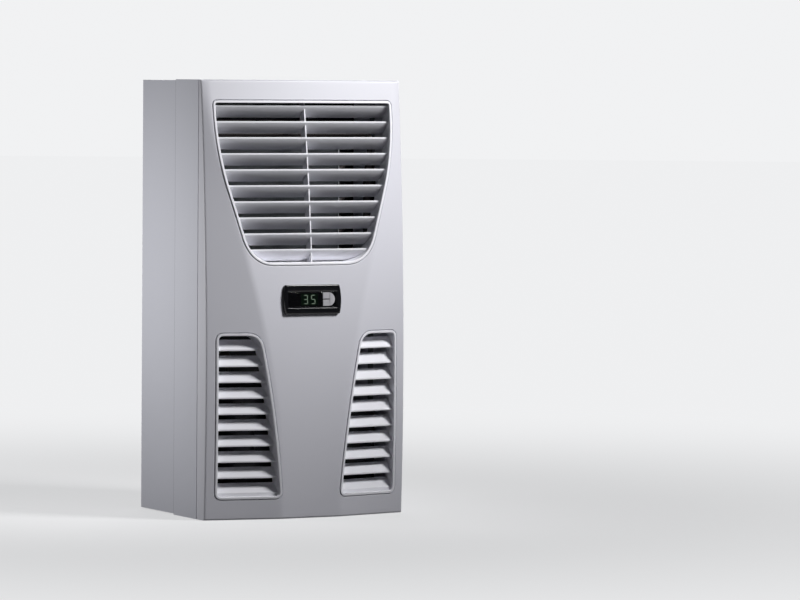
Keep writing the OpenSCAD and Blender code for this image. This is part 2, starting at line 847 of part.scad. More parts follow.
module display_module() {
    color(dark_grey) in_frame()
    at_display() {
        slab(box_outline(board_w, board_h), plate_back - module_t, plate_back);
        translate([digit_x, 0, 0])
            slab(box_outline(led_w, led_h), plate_back, led_front);
    }
}

module display_board() {
    color(board_green) in_frame()
    at_display()
        slab(box_outline(board_w, board_h), plate_back - module_t - board_t, plate_back - module_t);
}

// Strokes of a digit as centre and whether upright, in shares of the digit's half width and half height
stroke_shares = [[0, 1, 0], [1, 0.5, 1], [1, -0.5, 1], [0, -1, 0], [-1, -0.5, 1], [-1, 0.5, 1], [0, 0, 0]];
three = [0, 1, 2, 3, 6];
five = [0, 5, 6, 2, 3];

module digit(strokes) {
    reach = [(digit_w - digit_stroke) / 2, (digit_h - digit_stroke) / 2];
    for (s = strokes) {
        share = stroke_shares[s];
        across = 2 * reach.x - digit_stroke - fit_gap;
        upright = reach.y - digit_stroke - fit_gap;
        size = share[2] == 1 ? [digit_stroke, upright] : [across, digit_stroke];
        translate([share[0] * reach.x, 0, share[1] * reach.y])
            slab(box_outline(size.x, size.y), led_front, led_front + digit_t);
    }
}

module display_digits() {
    color(green) in_frame()
    at_display()
        translate([digit_x, 0, 0]) {
            translate([-digit_pitch / 2, 0, 0])
                digit(three);
            translate([digit_pitch / 2, 0, 0])
                digit(five);
        }
}

// Part of the keypad between two sides, with its flange behind the window
module key_piece(low, high) {
    cap_front = window_back + window_t + key_proud;
    at_display() {
        intersection() {
            slab(keypad_outline(0), window_back - key_gap, cap_front);
            block([low.x, -overrun, low.y], [high.x, 2 * cap_front, high.y]);
        }
        intersection() {
            slab(keypad_outline(key_flange), window_back - key_gap - key_flange_t, window_back - key_gap);
            block([low.x - key_flange, -2 * cap_front, low.y - key_flange],
                [high.x, 2 * cap_front, high.y + key_flange]);
            block([low.x - keypad_w, -2 * cap_front, low.y], [high.x, 2 * cap_front, high.y]);
        }
    }
}

module key_up() {
    color(steel) in_frame()
        key_piece([keypad_x, key_slot / 2], [keypad_x + key_w, keypad_r + key_flange]);
}

module key_down() {
    color(steel) in_frame()
        key_piece([keypad_x, -keypad_r - key_flange], [keypad_x + key_w, -key_slot / 2]);
}

module key_set() {
    cap_front = window_back + window_t + key_proud;
    left = keypad_x + key_w + key_gap;
    right = keypad_x + keypad_w + key_flange;
    color(steel) in_frame()
    at_display() {
        intersection() {
            slab(keypad_outline(0), window_back - key_gap, cap_front);
            block([left, -overrun, -keypad_h], [right, 2 * cap_front, keypad_h]);
        }
        intersection() {
            slab(keypad_outline(key_flange), window_back - key_gap - key_flange_t, window_back - key_gap);
            block([left, -2 * cap_front, -keypad_h], [right, 2 * cap_front, keypad_h]);
        }
    }
}

// Condenser
warm_depth = seam_d - partition_d - sheet_t;
fan_l = fan_share * warm_depth;
condenser_t = condenser_share * warm_depth;
standoff_l = 9;
standoff_r = 5;
fan_back = partition_d + sheet_t + standoff_l;
shroud_back = fan_back + fan_l;
coil_gap = 7;
condenser_back = shroud_back + sheet_t + coil_gap;
condenser_front = condenser_back + condenser_t;
condenser_left = -half_w + condenser_left_gap;
condenser_right = half_w - condenser_right_gap;
condenser_w = condenser_right - condenser_left;
condenser_x = (condenser_left + condenser_right) / 2;
condenser_z = upper_sill_z - condenser_drop;
condenser_top = condenser_z + condenser_h;
fan_z = condenser_z + condenser_h / 2;
fan_bore_r = fan_side / 2 - fan_wall;

module condenser_shroud() {
    color(steel) in_frame()
    difference() {
        block([condenser_left - sheet_t, shroud_back, condenser_z - sheet_t],
            [condenser_right + sheet_t, condenser_front, condenser_top + sheet_t]);
        block([condenser_left, shroud_back + sheet_t, condenser_z],
            [condenser_right, condenser_front + overrun, condenser_top]);
        rod(condenser_x, fan_z, shroud_back - overrun, shroud_back + sheet_t + overrun, fan_bore_r);
        for (p = coil_rows(condenser_z, condenser_h, condenser_back, condenser_t))
            translate([condenser_left - 2 * sheet_t, -p.x, p.y])
                rotate([0, 90, 0])
                    cylinder(r = tube_r + fit_gap, h = condenser_w + 4 * sheet_t);
    }
}

// Depth and height of each tube of a coil
tube_rows = 8;
function coil_rows(low, height, back, thick) =
    [for (row = [0:tube_rows - 1], lane = [0, 1])
        [back + thick * (1 + 2 * lane) / 4, low + height * (row + 0.5) / tube_rows]];

module fins(left, width, low, height, back, thick) {
    count = floor((width - 2 * fin_t) / fin_pitch);
    start = left + (width - count * fin_pitch) / 2;
    for (i = [0:count])
        block([start + i * fin_pitch - fin_t / 2, back, low],
            [start + i * fin_pitch + fin_t / 2, back + thick, low + height]);
}

module tubes(left, width, rows, reach) {
    for (p = rows)
        translate([left - reach, -p.x, p.y])
            rotate([0, 90, 0])
                cylinder(r = tube_r, h = width + 2 * reach);
}

// Return bends that join neighbouring rows at one end of a coil
module bends(end_x, way, rows, first) {
    rise = rows[2].y - rows[0].y;
    for (i = [first:2:tube_rows - 2], lane = [0, 1]) {
        p = rows[2 * i + lane];
        translate([end_x, -p.x, p.y + rise / 2])
            rotate([90, 0, 0])
                rotate([0, 0, way > 0 ? -90 : 90])
                    rotate_extrude(angle = 180)
                        translate([rise / 2, 0])
                            circle(r = tube_r);
    }
}

bend_gap = 2.5;

module condenser_fins() {
    color(aluminium) in_frame()
        fins(condenser_left, condenser_w, condenser_z + fit_gap, condenser_h - 2 * fit_gap,
            condenser_back, condenser_t);
}

module condenser_tubes() {
    color(copper) in_frame()
        tubes(condenser_left, condenser_w,
            coil_rows(condenser_z, condenser_h, condenser_back, condenser_t), bend_gap);
}

module condenser_bends() {
    rows = coil_rows(condenser_z, condenser_h, condenser_back, condenser_t);
    color(copper) in_frame() {
        bends(condenser_right + bend_gap, 1, rows, 0);
        bends(condenser_left - bend_gap, -1, rows, 1);
    }
}

strap_t = 1.5;
strap_h = 5;
strap_share = 0.48;

module condenser_strap() {
    strap_z = condenser_z + strap_share * condenser_h;
    color(steel) in_frame()
        block([condenser_left - sheet_t, condenser_front, strap_z],
            [condenser_right + sheet_t, condenser_front + strap_t, strap_z + strap_h]);
}

// Condenser fan
fan_hub_r = 30;
fan_base_t = 4;
fan_strut_w = 7;
fan_blades = 7;
blade_t = 1.8;
blade_pitch_angle = 38;
blade_gap = 2.5;
rotor_back_gap = 2;
rotor_front_gap = 3;
rotor_back = fan_back + fan_base_t + rotor_back_gap;
rotor_l = fan_l - fan_base_t - rotor_back_gap - rotor_front_gap;

function corner_places(side_x, side_z) = [for (x = [-side_x, side_x], z = [-side_z, side_z]) [x, z]];
standoff_inset = 9;
standoff_side = fan_side / 2 - standoff_inset;

module fan_standoffs() {
    color(steel) in_frame()
    for (p = corner_places(standoff_side, standoff_side))
        rod(condenser_x + p.x, fan_z + p.y, partition_d + sheet_t, fan_back, standoff_r);
}

module fan_frame() {
    color(black) in_frame()
    difference() {
        block([condenser_x - fan_side / 2, fan_back, fan_z - fan_side / 2],
            [condenser_x + fan_side / 2, fan_back + fan_l, fan_z + fan_side / 2]);
        rod(condenser_x, fan_z, fan_back + fan_base_t, fan_back + fan_l + overrun, fan_bore_r);
        for (turn = [0:90:270])
            translate([condenser_x, 0, fan_z])
                rotate([0, turn, 0])
                    intersection() {
                        difference() {
                            rod(0, 0, fan_back - overrun, fan_back + fan_base_t + overrun,
                                fan_bore_r - fan_strut_w / 2);
                            rod(0, 0, fan_back - 2 * overrun, fan_back + fan_base_t + 2 * overrun, fan_hub_r);
                        }
                        block([fan_strut_w / 2, fan_back - 3 * overrun, fan_strut_w / 2],
                            [fan_side, fan_back + fan_base_t + 3 * overrun, fan_side]);
                    }
        for (p = corner_places(standoff_side, standoff_side))
            rod(condenser_x + p.x, fan_z + p.y, fan_back - overrun, fan_back + fan_l + overrun,
                screw_r + fit_gap);
    }
}

module fan_motor() {
    color(steel) in_frame() {
        rod(condenser_x, fan_z, fan_back + fan_base_t, rotor_back, fan_hub_r / 2);
        rod(condenser_x, fan_z, fan_back + fan_base_t, rotor_back + rotor_l / 2, shaft_r);
    }
}

module fan_rotor() {
    color(dark_grey) in_frame()
    difference() {
        union() {
            rod(condenser_x, fan_z, rotor_back, rotor_back + rotor_l, fan_hub_r);
            intersection() {
                rod(condenser_x, fan_z, rotor_back, rotor_back + rotor_l, fan_bore_r - blade_gap);
                for (i = [0:fan_blades - 1])
                    translate([condenser_x, -rotor_back - rotor_l / 2, fan_z])
                        rotate([0, 360 * i / fan_blades, 0])
                            rotate([blade_pitch_angle, 0, 0])
                                translate([fan_hub_r / 2, -2 * rotor_l, -blade_t / 2])
                                    cube([fan_bore_r, 4 * rotor_l, blade_t]);
            }
        }
        rod(condenser_x, fan_z, rotor_back - overrun, rotor_back + rotor_l / 2 + overrun,
            shaft_r + shaft_gap);
    }
}

// Evaporator
evaporator_low = tray_z + tray_h;
evaporator_h = plug_z - plug_h / 2 - evaporator_top_gap - evaporator_low;
evaporator_left = -evaporator_w / 2;

module evaporator_plates() {
    rows = coil_rows(evaporator_low, evaporator_h, evaporator_d, evaporator_t);
    color(steel) in_frame()
    difference() {
        for (x = [evaporator_left - sheet_t, -evaporator_left])
            block([x, evaporator_d, tray_z + tray_t], [x + sheet_t, evaporator_d + evaporator_t,
                evaporator_low + evaporator_h]);
        for (p = rows)
            translate([2 * evaporator_left, -p.x, p.y])
                rotate([0, 90, 0])
                    cylinder(r = tube_r + fit_gap, h = 2 * evaporator_w);
    }
}

module evaporator_fins() {
    color(aluminium) in_frame()
        fins(evaporator_left, evaporator_w, evaporator_low, evaporator_h, evaporator_d, evaporator_t);
}

module evaporator_tubes() {
    color(copper) in_frame()
        tubes(evaporator_left, evaporator_w,
            coil_rows(evaporator_low, evaporator_h, evaporator_d, evaporator_t), bend_gap);
}

module evaporator_bends() {
    rows = coil_rows(evaporator_low, evaporator_h, evaporator_d, evaporator_t);
    color(copper) in_frame() {
        bends(evaporator_left - bend_gap, -1, rows, 0);
        bends(-evaporator_left + bend_gap, 1, rows, 1);
    }
}

tray_t = 1.5;
tray_gap = 1;
tray_reach = 14;
tray_half = evaporator_w / 2 + tray_reach;

module condensate_tray() {
    back = plate_d;
    front = partition_d;
    color(dark_grey) in_frame()
    difference() {
        block([-tray_half, back, tray_z], [tray_half, front, tray_z + tray_h - tray_gap]);
        block([-tray_half + tray_t, back + tray_t, tray_z + tray_t],
            [tray_half - tray_t, front - tray_t, tray_z + tray_h]);
        translate([drain_x, -drain_d, tray_z - overrun])
            cylinder(r = drain_r, h = tray_t + 2 * overrun);
    }
}

drain_flange_t = 2;
drain_flange_w = 4;

module drain_spout() {
    low = sheet_t;
    color(dark_grey) in_frame()
    translate([drain_x, -drain_d, 0])
        difference() {
            union() {
                translate([0, 0, low])
                    cylinder(r = drain_outer_r, h = tray_z - low);
                translate([0, 0, tray_z - drain_flange_t])
                    cylinder(r = drain_outer_r + drain_flange_w, h = drain_flange_t);
            }
            translate([0, 0, low - overrun])
                cylinder(r = drain_r, h = tray_z + 2 * overrun);
        }
}

// Evaporator fan: a wheel that draws through the inlet and blows out all round
blower_hub_r = 26;
blower_hub_l = 17;
blower_motor_r = 20;
blower_eye_r = 46;
blower_blades = 9;
blower_blade_angle = 35;
blower_plate_t = 1.6;
blower_gap = 5;
wheel_front = partition_d - blower_gap;
wheel_back = wheel_front - blower_l;
blower_blade_w = blower_r - blower_eye_r + blower_gap / 2;

module blower_motor() {
    color(steel) in_frame() {
        rod(0, inlet_z, wheel_front + blower_plate_t / 2, partition_d, blower_motor_r);
        rod(0, inlet_z, wheel_front - blower_l / 2, partition_d, shaft_r);
    }
}

module blower_wheel() {
    color(dark_grey) in_frame()
    difference() {
        union() {
            rod(0, inlet_z, wheel_front - blower_plate_t, wheel_front, blower_r);
            rod(0, inlet_z, wheel_front - blower_hub_l, wheel_front, blower_hub_r);
            difference() {
                rod(0, inlet_z, wheel_back, wheel_back + blower_plate_t, blower_r);
                rod(0, inlet_z, wheel_back - overrun, wheel_back + blower_plate_t + overrun, blower_eye_r);
            }
            for (i = [0:blower_blades - 1])
                translate([0, 0, inlet_z])
                    rotate([0, 360 * i / blower_blades, 0])
                        translate([blower_eye_r - blower_gap, 0, 0])
                            rotate([0, blower_blade_angle, 0])
                                block([0, wheel_back + blower_plate_t / 2, -blower_plate_t / 2],
                                    [blower_blade_w, wheel_front - blower_plate_t / 2, blower_plate_t / 2]);
        }
        rod(0, inlet_z, wheel_front - blower_l / 2 - overrun, wheel_front + overrun, shaft_r + shaft_gap);
    }
}

// Compressor
base_z = cover_t + fit_gap;
base_t = 2;
base_front_gap = 4;
mount_h = 10;
mount_r = 9;
foot_t = 3;
foot_reach = 7;
foot_inset = 2;
foot_bolt_inset = 13;
shell_round = 18;
compressor_z = base_z + base_t + mount_h + foot_t;
compressor_back = partition_d + sheet_t + compressor_gap;
compressor_r = (seam_d - base_front_gap - compressor_back) / 2;
compressor_d = compressor_back + compressor_r;
bolt_r = 3;

module base_plate() {
    color(steel) in_frame()
        block([-half_w + 3 * sheet_t, partition_d + sheet_t + fit_gap, base_z],
            [half_w - 3 * sheet_t, seam_d - base_front_gap, base_z + base_t]);
}

module compressor() {
    r = compressor_r;
    top = compressor_h;
    foot_w = r + foot_reach;
    foot_d = r - foot_inset;
    color(black) in_frame()
    translate([compressor_x, -compressor_d, 0]) {
        translate([0, 0, compressor_z])
            rotate_extrude()
                polygon(concat(
                    [[0, 0]],
                    rounding([r - shell_round, 0], [r, 0], [r, shell_round], corner_steps),
                    rounding([r, top - shell_round], [r, top],
                        [r - shell_round, top + shell_round / 4], corner_steps),
                    [[0, top + shell_round / 4]]));
        difference() {
            translate([-foot_w, -foot_d, compressor_z - foot_t])
                cube([2 * foot_w, 2 * foot_d, foot_t]);
            for (p = corner_places(r, r - foot_bolt_inset))
                translate([p.x, p.y, compressor_z - foot_t - overrun])
                    cylinder(r = bolt_r + fit_gap, h = foot_t + 2 * overrun);
        }
    }
}

module at_feet() {
    for (p = corner_places(compressor_r, compressor_r - foot_bolt_inset))
        translate([compressor_x + p.x, -compressor_d + p.y, base_z + base_t])
            children();
}

module compressor_mounts() {
    color(black) in_frame()
    at_feet()
        difference() {
            cylinder(r = mount_r, h = mount_h);
            translate([0, 0, -overrun])
                cylinder(r = bolt_r + fit_gap, h = mount_h + 2 * overrun);
        }
}

module compressor_bolts() {
    color(steel) in_frame()
    at_feet() {
        cylinder(r = bolt_r, h = mount_h + foot_t + base_t);
        translate([0, 0, mount_h + foot_t])
            cylinder(r = 2 * bolt_r, h = bolt_r, $fn = 6);
    }
}

cap_w = 34;
cap_h = 40;
cap_l = 16;
cap_share = 0.55;

module compressor_cap() {
    mid_z = compressor_z + cap_share * compressor_h;
    color(dark_grey) in_frame()
    difference() {
        translate([compressor_x - cap_w / 2, -compressor_d - compressor_r - cap_l / 2, mid_z - cap_h / 2])
            cube([cap_w, cap_l, cap_h]);
        translate([compressor_x, -compressor_d, mid_z - cap_h])
            cylinder(r = compressor_r + fit_gap, h = 2 * cap_h);
    }
}

// Pipes
pipe_reach = 16;
riser_gap = 9.5;
tube_wall = 0.5;
coil_tubes = coil_rows(condenser_z, condenser_h, condenser_back, condenser_t);
compressor_top = compressor_z + compressor_h + shell_round / 4;
drier_r = 8;
drier_l = 90;
drier_side_gap = 33;
drier_x = half_w - drier_side_gap;
drier_back_gap = 10.5;
drier_d = seam_d - drier_back_gap;
drier_rise = 44;
drier_z = condenser_z + drier_rise;
// Places of the holes in the partition, sideways and upwards
suction_x = 20;
suction_rise = 28;
suction_hole = [suction_x, compressor_top + suction_rise];
liquid_shift = 7;
liquid_drop = 6;
liquid_hole = [drier_x - liquid_shift, condenser_z - liquid_drop];

module discharge_pipe() {
    start = [compressor_x - compressor_r / 2, -compressor_d, compressor_top];
    inlet = [condenser_left - bend_gap, -coil_tubes[0].x, coil_tubes[0].y];
    riser = [inlet.x - riser_gap, inlet.y, inlet.z];
    level = compressor_top + 2 * pipe_reach;
    color(copper) in_frame()
        tube(pipe_path([start, [start.x, start.y, level], [riser.x, inlet.y, level], riser, inlet],
            pipe_reach / 2), pipe_r - tube_wall);
}

module liquid_pipe() {
    outlet = [condenser_left - bend_gap, -coil_tubes[2 * tube_rows - 1].x, coil_tubes[2 * tube_rows - 1].y];
    top = [outlet.x - riser_gap, outlet.y, condenser_top + pipe_reach];
    drier_top = drier_z + drier_l + drier_r;
    color(copper) in_frame()
        tube(pipe_path([outlet, [top.x, outlet.y, outlet.z], top, [drier_x, -drier_d, top.z],
            [drier_x, -drier_d, drier_top]], pipe_reach / 2), pipe_r - tube_wall);
}

module suction_pipe() {
    color(copper) in_frame()
        tube(pipe_path([[compressor_x + compressor_r / 2, -compressor_d, compressor_top],
            [compressor_x + compressor_r / 2, -compressor_d, suction_hole.y],
            [suction_hole.x, -compressor_d, suction_hole.y],
            [suction_hole.x, -partition_d + pipe_r, suction_hole.y]], pipe_reach / 2), pipe_r);
}

module filter_drier() {
    color(copper) in_frame()
    translate([drier_x, -drier_d, drier_z])
        rotate_extrude()
            polygon([[0, -drier_r], [pipe_r, -drier_r], [drier_r, drier_r], [drier_r, drier_l - drier_r],
                [pipe_r, drier_l + drier_r], [0, drier_l + drier_r]]);
}

module capillary_tube() {
    color(copper) in_frame()
        tube(pipe_path([[drier_x, -drier_d, drier_z - drier_r], [drier_x, -drier_d, liquid_hole.y],
            [liquid_hole.x, -partition_d + pipe_r, liquid_hole.y]], pipe_reach), pipe_r / 2, 8);
}

// Electrics
box_left_gap = 8;
box_right_gap = 14;
box_front_gap = 27.4;
box_x = compressor_x + compressor_r + foot_reach + box_left_gap;
box_w = half_w - box_right_gap - box_x;
box_back = partition_d + sheet_t + fit_gap;
box_d = seam_d - box_front_gap - sheet_t - box_back;
box_h = 130;
box_z = base_z + base_t;

module control_box() {
    color(steel) in_frame()
    difference() {
        block([box_x, box_back, box_z], [box_x + box_w, box_back + box_d, box_z + box_h]);
        block([box_x + sheet_t, box_back + sheet_t, box_z + sheet_t],
            [box_x + box_w - sheet_t, box_back + box_d + overrun, box_z + box_h - sheet_t]);
    }
}

module control_lid() {
    color(steel) in_frame()
        block([box_x, box_back + box_d, box_z], [box_x + box_w, box_back + box_d + sheet_t, box_z + box_h]);
}

module terminal_block() {
    color(green) in_frame()
    difference() {
        block([plug_x - plug_w / 2, plug_rear_gap, plug_z - plug_h / 2],
            [plug_x + plug_w / 2, plug_l, plug_z + plug_h / 2]);
        block([plug_x - plug_w / 2 + plug_wall, 0, plug_z - plug_h / 2 + plug_wall],
            [plug_x + plug_w / 2 - plug_wall, plug_l / 2, plug_z + plug_h / 2 - plug_wall]);
    }
}

rear_housing();
rear_gasket();
mounting_inserts();
inlet_guard();
partition();
hood();
hood_screws();
front_cover();
cover_studs();
stud_sockets();
upper_grille();
lower_left_grille();
lower_right_grille();
display_bezel();
display_window();
display_module();
display_digits();
display_board();
key_up();
key_down();
key_set();
condenser_shroud();
condenser_fins();
condenser_tubes();
condenser_bends();
condenser_strap();
fan_standoffs();
fan_frame();
fan_motor();
fan_rotor();
evaporator_plates();
evaporator_fins();
evaporator_tubes();
evaporator_bends();
blower_motor();
blower_wheel();
condensate_tray();
drain_spout();
base_plate();
compressor();
compressor_mounts();
compressor_bolts();
compressor_cap();
discharge_pipe();
suction_pipe();
liquid_pipe();
filter_drier();
capillary_tube();
control_box();
control_lid();
terminal_block();
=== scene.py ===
import bpy
import bmesh
import json
import math
from mathutils import Matrix, Vector
from mathutils.geometry import delaunay_2d_cdt

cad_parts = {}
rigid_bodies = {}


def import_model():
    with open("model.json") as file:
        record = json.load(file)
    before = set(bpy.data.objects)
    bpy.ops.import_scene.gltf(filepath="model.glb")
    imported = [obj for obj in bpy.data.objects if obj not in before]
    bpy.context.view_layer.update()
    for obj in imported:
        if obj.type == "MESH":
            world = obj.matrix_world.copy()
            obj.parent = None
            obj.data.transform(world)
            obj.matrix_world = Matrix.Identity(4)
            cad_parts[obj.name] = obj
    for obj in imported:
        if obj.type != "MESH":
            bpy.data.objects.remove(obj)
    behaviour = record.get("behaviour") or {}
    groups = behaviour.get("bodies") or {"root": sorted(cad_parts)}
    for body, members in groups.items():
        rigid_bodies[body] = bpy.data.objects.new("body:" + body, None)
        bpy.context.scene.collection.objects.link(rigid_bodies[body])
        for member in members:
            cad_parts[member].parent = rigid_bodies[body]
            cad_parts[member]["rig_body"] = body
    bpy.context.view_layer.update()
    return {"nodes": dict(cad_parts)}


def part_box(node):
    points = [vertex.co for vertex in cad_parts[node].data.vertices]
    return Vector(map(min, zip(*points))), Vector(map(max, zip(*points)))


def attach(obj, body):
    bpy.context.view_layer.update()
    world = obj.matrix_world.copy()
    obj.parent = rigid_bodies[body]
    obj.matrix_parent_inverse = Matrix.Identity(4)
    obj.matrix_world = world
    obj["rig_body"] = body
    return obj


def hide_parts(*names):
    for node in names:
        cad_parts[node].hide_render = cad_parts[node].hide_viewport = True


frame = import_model()
nodes = frame["nodes"]
scene = bpy.context.scene

# Sizes in mm: x to the right, d forward from the mounting face, z up from the bottom
HALF_W, BODY_H = 140.0, 550.0
MID_Z = BODY_H / 2

# Shell. The hood stands proud of the housing and hides the front end of its side, so the strip of
# painted shade, a darker finish standing in for the shadow at the hood's seam, starts behind the
# hood's edge by the width that follows HOUSING_D
HOUSING_D, SEAM_SHADE_W = 100.0, 3.1
COVER_BACK, COVER_T, EDGE_ROUND = 167.4, 2.5, 2.5
EDGE_X = HALF_W - EDGE_ROUND
INNER_CORNER = ((136.6, 0.4), (137.5, 1.6))
GRID_ROWS, GRID_HALF, GRID_END = 60, 17, 10
FILLET, FILLET_RINGS = 0.7, (0.0, 0.06, 0.2, 0.42, 0.7, 1.6)
STUD_X, STUD_Z, STUD_R, STUD_ROOT = 129, 11, 5.5, 1.8
BORE_R, BORE_END = 2.4, 173

# The shield in the middle and the cover's edges stand out furthest at their apex and have leant
# back by their sag at the top. The flanks between them start at a rounded crease
SHIELD_D, SHIELD_APEX, SHIELD_SAG = 210, 120, 37.5
EDGE_D, EDGE_APEX, EDGE_SAG = 191.5, 160, 19.5
CREASE_ROUND, CREASE_LOW, CREASE_TOP = 4.5, 41.0, 131.0
CREASE_Z = (299.75, 440.0, 540.1)
SLOPE = 2 * (CREASE_TOP - CREASE_LOW) / (CREASE_Z[1] + CREASE_Z[2] - CREASE_Z[0])

# Openings of the grilles
UPPER_SILL, UPPER_TOP, UPPER_HALF, UPPER_Z = 321.5, 521.0, 122.3, (421.25, 511.0)
UPPER_CORNER, UPPER_BOW_R, TOP_CORNER = 30.0, 1040.0, 3.0
LOWER_SILL, LOWER_TOP, LOWER_HALF = 29.0, 230.5, 123.8
LOWER_CORNER, SMALL_CORNER = 15.0, 6.0
LOWER_START, LOWER_LEAN, LOWER_BOW = 0.75, 0.06, 3040

# Rims and slats
RIM_W, RIM_PROUD, RIM_GAP, RIM_DEPTH = 3.2, 0.8, 0.8, 19.5
LIP_IN, LIP_OUT, FLANGE_W, FLANGE_T, FLANGE_GAP = 1.1, 0.7, 3.0, 1.6, 0.2
BITE = RIM_W / 2
SLAT_COUNT, SLAT_PITCH, SLAT_T, SLAT_ROUND, SLAT_RECESS = 10, 20.0, 2.2, 0.55, 4.5
UPPER_SLAT_Z, UPPER_SLAT_D, UPPER_SLAT_FALL = 17, 15.0, 14.0
LOWER_SLAT_Z, LOWER_SLAT_D, LOWER_SLAT_RISE = 2.5, 12.0, 11.8
BELLY_D, BELLY_DROP = 5.2, 8.4
RIB_X, RIB_STEPS = 5.4, 40
RIB_PROFILE = ((-1, UPPER_SLAT_D), (-1, 3.1), (-0.7, 2.7), (0, 2.6), (0.7, 2.7), (1, 3.1),
               (1, UPPER_SLAT_D))

# Display. Heights are measured square to the leaning front
DISPLAY_Z, DISPLAY_CUT_W, DISPLAY_CUT_H = 275.0, 36.3, 16.5
TILT = math.atan(2 * SHIELD_SAG * (DISPLAY_Z - SHIELD_APEX) / (BODY_H - SHIELD_APEX) ** 2)
BEZEL_W, BEZEL_H, BEZEL_BULGE, BEZEL_CORNER = 38.3, 18.5, 2.3, 2.0
BEZEL_FRONT, BEZEL_ROUND, BEZEL_FOOT, COLLAR_BACK = 4.0, 1.5, 0.2, -14
PLATE_HEIGHT, SEAT_HEIGHT = -1.0, 1.2
CLIP_HALF, CLIP_Z, CLIP_OUT = 9.6, 16.2, 1.5
DIGITS_X, DIGIT_APART = -3.0, 5.2
DIGIT_W, DIGIT_H, STROKE, STROKE_GAP = 2.4, 5.3, 0.42, 0.25

# Condenser fins, in m
FIN_COUNT, FIN_BENDS, FIN_WAVE, FIN_HALF_T, FIN_INSET = 92, 12, 0.0003, 0.00012, 0.0002


def at(x, d, z):
    return Vector((x / 1000, -d / 1000, (z - MID_Z) / 1000))


# Outlines and surfaces of the front
def fall(z, apex, sag):
    return sag * ((z - apex) / (BODY_H - apex)) ** 2


def edge_d(z):
    return EDGE_D - fall(z, EDGE_APEX, EDGE_SAG)


def shield_d(z):
    return SHIELD_D - fall(z, SHIELD_APEX, SHIELD_SAG)


def bend(z, top, za, zb):
    """A side that leans by SLOPE up to za, turns upright until zb and stays at top"""
    if z < za:
        return top - SLOPE * ((zb - za) / 2 + za - z)
    if z < zb:
        return top - SLOPE * (zb - z) ** 2 / (2 * (zb - za))
    return top


def crease_half(z):
    if z < CREASE_Z[0]:
        return CREASE_LOW + SLOPE * z * z / (2 * CREASE_Z[0])
    return bend(z, CREASE_TOP, CREASE_Z[1], CREASE_Z[2])


def flank_slope(z):
    return (shield_d(z) - edge_d(z)) / (HALF_W - crease_half(z))


def flank_d(x, z):
    return edge_d(z) + flank_slope(z) * (HALF_W - x)


def front_d(x, z):
    """Depth of the cover's front, with the crease rounded off"""
    t = abs(x) - crease_half(z)
    r = CREASE_ROUND
    run = 0.0 if t < -r else (t if t > r else (t + r) ** 2 / (4 * r))
    return shield_d(z) - flank_slope(z) * run


def end_inset(z):
    """How far the rounding at the cover's top and bottom takes its front back"""
    r, e = EDGE_ROUND, min(z, BODY_H - z)
    return r - math.sqrt(max(r * r - (r - e) ** 2, 0)) if e < r else 0.0


def quad_curve(a, b, c, steps):
    a, b, c = Vector(a), Vector(b), Vector(c)
    return [(1 - t) ** 2 * a + 2 * t * (1 - t) * b + t * t * c
            for t in (i / steps for i in range(steps + 1))]


def mirrored(path):
    return [Vector((-p.x, p.y)) for p in reversed(path)]


def upper_side(z):
    return bend(z, UPPER_HALF, *UPPER_Z) - max(UPPER_Z[0] - z, 0) ** 2 / (2 * UPPER_BOW_R)


def upper_half_outline(n=12):
    """Right half of the upper opening, from the sill to the top"""
    foot = (upper_side(UPPER_SILL), UPPER_SILL)
    high = UPPER_SILL + UPPER_CORNER
    turn = [Vector((upper_side(z), z)) for z in
            (UPPER_Z[0] + (UPPER_Z[1] - UPPER_Z[0]) * i / n for i in range(n + 1))]
    return (quad_curve((foot[0] - UPPER_CORNER, UPPER_SILL), foot, (upper_side(high), high), n)
            + turn
            + quad_curve((UPPER_HALF, UPPER_TOP - TOP_CORNER), (UPPER_HALF, UPPER_TOP),
                         (UPPER_HALF - TOP_CORNER, UPPER_TOP), 6))


def upper_outline():
    right = upper_half_outline()
    return right + mirrored(right)


def lower_side(z):
    return CREASE_LOW + LOWER_START + LOWER_LEAN * z + z * z / LOWER_BOW


def lower_outline():
    """The lower right opening, from the sill's outer end round to its inner end"""
    low, high = LOWER_SILL + SMALL_CORNER, LOWER_TOP - LOWER_CORNER
    h, c, s, t = LOWER_HALF, SMALL_CORNER, LOWER_SILL, LOWER_TOP
    inner = (lower_side(t), t)
    return (quad_curve((h - c, s), (h, s), (h, low), 6)
            + quad_curve((h, t - c), (h, t), (h - c, t), 6)
            + quad_curve((inner[0] + LOWER_CORNER, t), inner, (lower_side(high), high), 10)
            + [Vector((lower_side(z), z)) for z in
               (high - (high - low) * i / 14 for i in range(1, 14))]
            + quad_curve((lower_side(low), low), (lower_side(s), s), (lower_side(s) + c, s), 6))


# Closed paths
def dense(path, step):
    """The path with points at most a step apart"""
    out = []
    for i, p in enumerate(path):
        q = path[(i + 1) % len(path)]
        n = max(1, math.ceil((q - p).length / step))
        if (q - p).length > 1e-6:
            out += [p + (q - p) * k / n for k in range(n)]
    return out


def grown(path, by):
    """The path moved outwards"""
    n = len(path)
    out = []
    for i in range(n):
        a, b = (path[i] - path[i - 1]).normalized(), (path[(i + 1) % n] - path[i]).normalized()
        na, nb = Vector((a.y, -a.x)), Vector((b.y, -b.x))
        m = (na + nb).normalized()
        out.append(path[i] + m * by / max(m.dot(na), 0.5))
    return out


def inside(path, x, y):
    hit = False
    for i, p in enumerate(path):
        q = path[i - 1]
        if (p.y > y) != (q.y > y) and x < (q.x - p.x) * (y - p.y) / (q.y - p.y) + p.x:
            hit = not hit
    return hit


def distance(path, x, y):
    best = 1e9
    v = Vector((x, y))
    for i, p in enumerate(path):
        e = p - path[i - 1]
        t = min(1, max(0, (v - path[i - 1]).dot(e) / max(e.length_squared, 1e-12)))
        best = min(best, (path[i - 1] + e * t - v).length)
    return best


